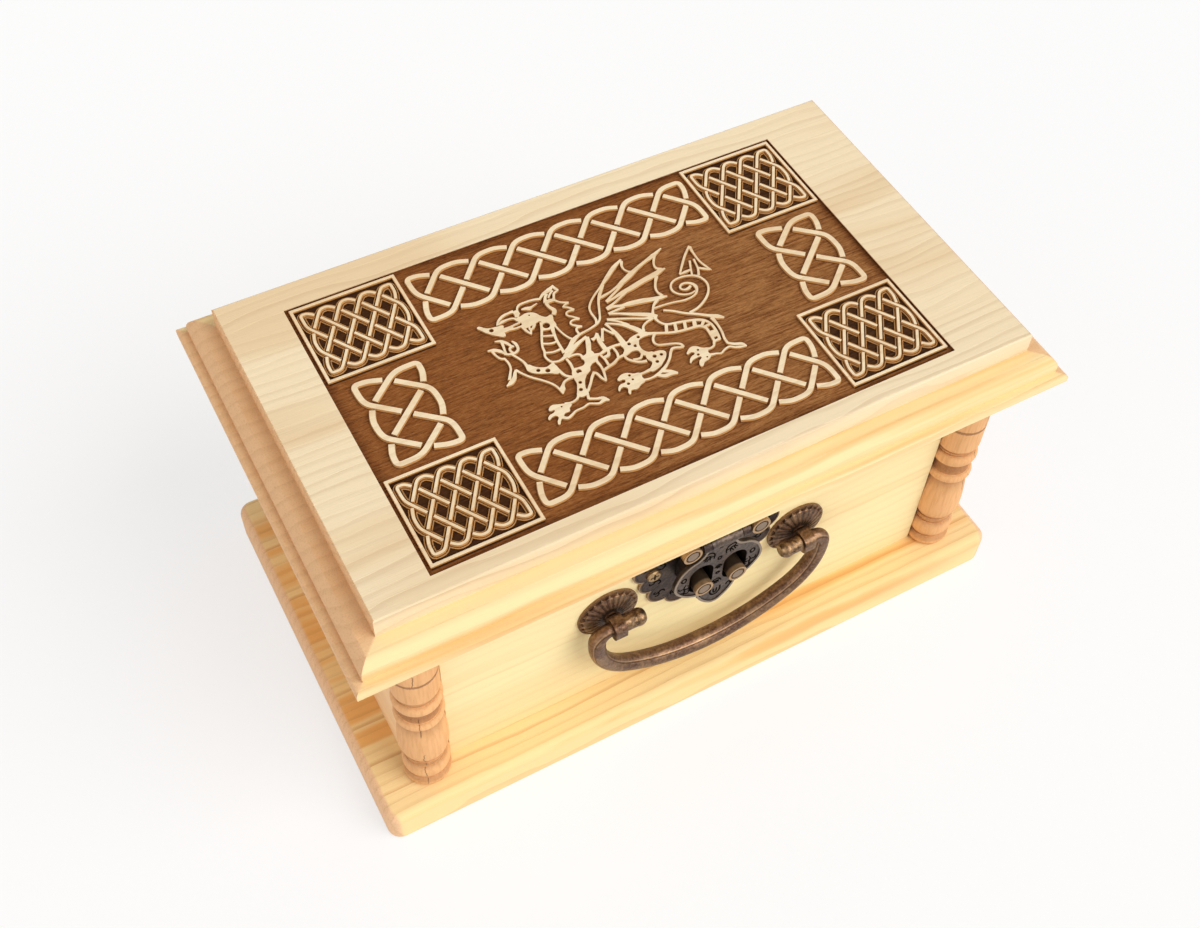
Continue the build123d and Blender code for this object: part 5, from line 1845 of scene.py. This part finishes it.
@dataclass
class Fittings:
    """The cast fittings: hasp, drop handle, hinges and their screws, with their engraved lines."""

    handle_level: float = 76.8
    rosette_out: float = 44.5
    flap_face: float = -81.6
    plate_face: float = -72.8
    line_half: float = 0.42
    line_height: float = 0.08
    bronze: AgedBronze = AgedBronze("aged_bronze")
    bail: BailBronze = BailBronze(
        "handle_bronze", dark=(0.085, 0.046, 0.029), rubbed=0.4, roughness=0.3, grit=0.4)
    flap: FlapBronze = FlapBronze(
        "flap_bronze", dark=(0.040, 0.030, 0.026), brown=(0.125, 0.095, 0.082), rubbed=0.1)
    back: AgedBronze = AgedBronze("hinge_bronze", rubbed=0.2)
    nuts: AgedBronze = AgedBronze("nut_brass", brown=(0.24, 0.14, 0.07), rubbed=0.9, roughness=0.3)
    brass: WornBrass = WornBrass("screw_brass")
    low_rounds: tuple[tuple[float, float, float], ...] = (
        (27.0, 94.0, 7.0), (25.0, 84.0, 6.0), (19.0, 75.0, 7.6), (10.5, 69.0, 7.8), (0.0, 64.5, 8.0),
        (0.0, 91.0, 25.0))
    high_rounds: tuple[tuple[float, float, float], ...] = (
        (24.5, 110.0, 6.8), (18.0, 116.0, 6.4), (9.0, 120.0, 6.8), (0.0, 121.5, 7.0), (0.0, 103.0, 19.0))
    flap_motifs: tuple[Motif, ...] = (
        Motif(RING, (15.9, 91.6), 1.2), Motif(SCROLL, (15.9, 80.6), 1.35, 1.62),
        Motif(KNOT, (5.4, 101.2), 1.35, 0.5), Motif(KNOT, (0.0, 106.4), 0.95, 0.0, paired=False),
        Motif(RING, (0.0, 97.4), 0.9, 0.0, paired=False), Motif(KNOT, (0.0, 91.0), 0.62, 0.0, paired=False),
        Motif(RING, (0.0, 86.6), 0.7, 1.57, paired=False), Motif(KNOT, (0.0, 80.2), 0.9, 0.0, paired=False),
        Motif(HOOP, (0.0, 73.0), 0.92, 0.0, paired=False), Motif(LEAF, (6.2, 75.6), 0.6, -1.2))
    plate_motifs: tuple[Motif, ...] = (
        Motif(LEAF, (19.2, 93.5), 1.0, 0.4), Motif(LEAF, (21.5, 84.5), 0.95, -0.6),
        Motif(LEAF, (20.4, 76.0), 0.8, -1.5),
        Motif(KNOT, (14.0, 70.5), 0.8, -0.7), Motif(LEAF, (30.6, 97.0), 0.7, 2.6))

    def engraving(self, name: str, motifs: Sequence[Motif], face: float, body: str) -> bpy.types.Object:
        """Cuts a set of motifs as black lines on an upright face.

        Args:
            name: the piece's name.
            motifs: what is cut; paired ones are cut again on the other side.
            face: the face's distance from the box's middle.
            body: the body it rides on.

        Returns:
            The finished piece.
        """
        lines = []
        for motif in motifs:
            for side in ((1, -1) if motif.paired else (1,)):
                lines.extend(self.placed(stroke, motif, side) for stroke in motif.strokes)
        half, high = self.line_half, self.line_height
        item = strips(name, lines, [(half, -0.3), (half, high), (-half, high), (-half, -0.3)], 0.0, steps=4)
        close_up(item, 0.005)
        hold(item)
        item.rotation_euler = (math.radians(90), 0.0, 0.0)
        item.location = (0.0, face * MM, 0.0)
        settle(item)
        flatten_front(item, face - high)
        return finish_piece(item, EngravedBlack().material(), body)

    def placed(self, stroke: Stroke, motif: Motif, side: int) -> list[Bend]:
        """One stroke of a motif where it is cut, with smooth handles.

        Args:
            stroke: the stroke as drawn.
            motif: the motif that it belongs to.
            side: 1 as drawn, or -1 for its mirror image.

        Returns:
            The stroke's curve points.
        """
        cos, sin = math.cos(motif.turn), math.sin(motif.turn)
        points = []
        for x, y, width in stroke:
            x, y = x * motif.size, y * motif.size
            points.append((
                side * (motif.place[0] + x * cos - y * sin), motif.place[1] + x * sin + y * cos, width))
        return smooth_line(points)

    def build(self) -> None:
        """Dresses every fitting and cuts the engraved lines."""
        bronze, back, brass = self.bronze.material(), self.back.material(), self.brass.material()
        black_plate = {"dark": (0.022, 0.014, 0.012), "brown": (0.066, 0.042, 0.035), "rubbed": 0.12}
        finishes = {
            "bail_handle": self.bail.material(), "bail_ball_nuts": self.nuts.material(),
            "hasp_flap": self.flap.material(),
            "hasp_backplate": PlateBronze(
                "backplate_bronze", rounds=self.low_rounds, **black_plate).material(),
            "hasp_lid_plate": PlateBronze(
                "lid_plate_bronze", rounds=self.high_rounds, **black_plate).material(),
            "hasp_flap_knobs": KnobBronze("knob_brass").material(),
            "hasp_upper_posts": KnobBronze("post_brass", out=15.4, level=113.0).material()}
        for side, sign in (("left", -1), ("right", 1)):
            hub = (sign * self.rosette_out, self.handle_level)
            finishes[f"handle_rosette_{side}"] = PetalBronze(f"{side}_petal_bronze", hub=hub).material()
        for name in sorted(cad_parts):
            if not name.startswith(("handle_", "bail_", "hasp_", "hinge_")):
                continue
            if "screws" in name or name in ("bail_ball_nuts", "hasp_flap_knobs", "hasp_upper_posts"):
                dress_node(name, finishes.get(name, brass))
            elif name.startswith("hinge_"):
                dress_node(name, back)
            else:
                dress_node(name, finishes.get(name, bronze))
        self.engraving("flap_engraving", self.flap_motifs, self.flap_face, "hasp_flap")
        self.engraving("backplate_engraving", self.plate_motifs, self.plate_face, "box")


# ---------------------------------------------------------------- the studio


@dataclass
class Studio:
    """A pale floor, soft lamps and the camera."""

    floor_size: float = 12.0
    floor_colour: Colour = (0.93, 0.93, 0.94)
    floor_shown: float = 0.65
    key_strength: float = 2.15
    key_toward: tuple[float, float, float] = (0.50, -0.62, 0.68)
    fill_strength: float = 0.7
    fill_toward: tuple[float, float, float] = (-0.90, -0.25, 0.25)
    sky_strength: float = 0.50
    camera_place: tuple[float, float, float] = (-201.2, -329.4, 582.1)
    camera_turn: tuple[float, float, float] = (36.93, -2.15, -29.0)
    focal_length: float = 44.05
    shift: Point = (-0.0203, -0.00905)

    def floor(self) -> None:
        """Lays the floor."""
        deselect()
        bpy.ops.mesh.primitive_plane_add(size=self.floor_size, location=(0.0, 0.0, 0.0))
        item = bpy.context.object
        item.name = item.data.name = "floor"
        graph = Graph("floor_paper")
        graph.dress(self.floor_colour, 0.9, specular=0.1)
        white = graph.node("ShaderNodeEmission", inputs={"Color": (1.0, 1.0, 1.0), "Strength": 1.0})
        seen = Value(graph, self.seen(graph.tree)) * self.floor_shown
        shown = graph.node("ShaderNodeMixShader", inputs=(seen, graph.shader.outputs[0], white.outputs[0]))
        graph.feed(graph.output.inputs["Surface"], shown.outputs[0])
        item.data.materials.append(graph.material)

    def seen(self, tree: bpy.types.NodeTree) -> bpy.types.NodeSocket:
        """Gives 1 for what the camera sees, also by gloss or through glass, and 0 for light on the object.

        Args:
            tree: the node tree that asks.

        Returns:
            The socket that holds the answer.
        """
        rays = tree.nodes.new("ShaderNodeLightPath")
        last = rays.outputs["Is Camera Ray"]
        for name in ("Is Glossy Ray", "Is Transmission Ray"):
            either = tree.nodes.new("ShaderNodeMath")
            either.operation = "MAXIMUM"
            tree.links.new(last, either.inputs[0])
            tree.links.new(rays.outputs[name], either.inputs[1])
            last = either.outputs[0]
        return last

    def sky(self) -> None:
        """Lights the room evenly and shows white behind the object."""
        world = bpy.data.worlds.new("room")
        bpy.context.scene.world = world
        world.use_nodes = True
        tree = world.node_tree
        tree.nodes.clear()
        output = tree.nodes.new("ShaderNodeOutputWorld")
        background = tree.nodes.new("ShaderNodeBackground")
        seen = tree.nodes.new("ShaderNodeMapRange")
        seen.inputs["To Min"].default_value = self.sky_strength
        seen.inputs["To Max"].default_value = 1.0
        tree.links.new(self.seen(tree), seen.inputs["Value"])
        tree.links.new(seen.outputs[0], background.inputs["Strength"])
        tree.links.new(background.outputs[0], output.inputs["Surface"])
        background.inputs["Color"].default_value = (1.0, 1.0, 1.0, 1.0)

    def lamp(
        self, name: str, toward: tuple[float, float, float], strength: float, spread: float, colour: Colour
    ) -> None:
        """Hangs a broad distant lamp.

        Args:
            name: the lamp's name.
            toward: the way from the object to the lamp.
            strength: its strength.
            spread: how wide it looks, in degrees.
            colour: its colour.
        """
        data = bpy.data.lights.new(name, "SUN")
        data.energy, data.angle, data.color = strength, math.radians(spread), colour
        item = bpy.data.objects.new(name, data)
        bpy.context.scene.collection.objects.link(item)
        item.rotation_euler = Vector(toward).to_track_quat("Z", "Y").to_euler()

    def camera(self) -> None:
        """Sets up the camera."""
        data = bpy.data.cameras.new("camera")
        data.sensor_width, data.lens = 36.0, self.focal_length
        data.shift_x, data.shift_y = self.shift
        data.clip_start, data.clip_end = 0.01, 50.0
        item = bpy.data.objects.new("camera", data)
        bpy.context.scene.collection.objects.link(item)
        item.location = Vector(self.camera_place) * MM
        item.rotation_euler = tuple(math.radians(turn) for turn in self.camera_turn)
        bpy.context.scene.camera = item

    def build(self) -> None:
        """Builds the whole studio."""
        bpy.context.scene.view_settings.view_transform = "Standard"
        self.floor()
        self.sky()
        self.lamp("key", self.key_toward, self.key_strength, 50.0, (1.0, 0.985, 0.96))
        self.lamp("fill", self.fill_toward, self.fill_strength, 60.0, (1.0, 0.86, 0.70))
        self.camera()


def main() -> None:
    """Builds the studio and every sub-assembly in order."""
    logging.basicConfig(level=logging.INFO, format="%(relativeCreated)6d ms %(message)s")
    deselect()
    Studio().build()
    Carcase().build()
    board_look = {
        "heart": (-330.0, -60.0), "ring": 4.4, "wander": 9.0, "pale": (0.91, 0.755, 0.515),
        "band": (0.46, 0.26, 0.11), "band_share": 0.3, "warm": (0.78, 0.56, 0.32), "warm_share": 0.6,
        "warm_reach": 22.0, "fibre_share": 0.18}
    panel = CarvedPanel("panel_wood", **board_look)
    dress_node("lid_top_panel", panel.material())
    relief = CarvedRelief("relief_wood", **board_look)
    carved = relief.material()
    LidCarving(carved).build()
    HeraldicDragon(carved).build()
    Fittings().build()


if __name__ == "__main__":
    main()
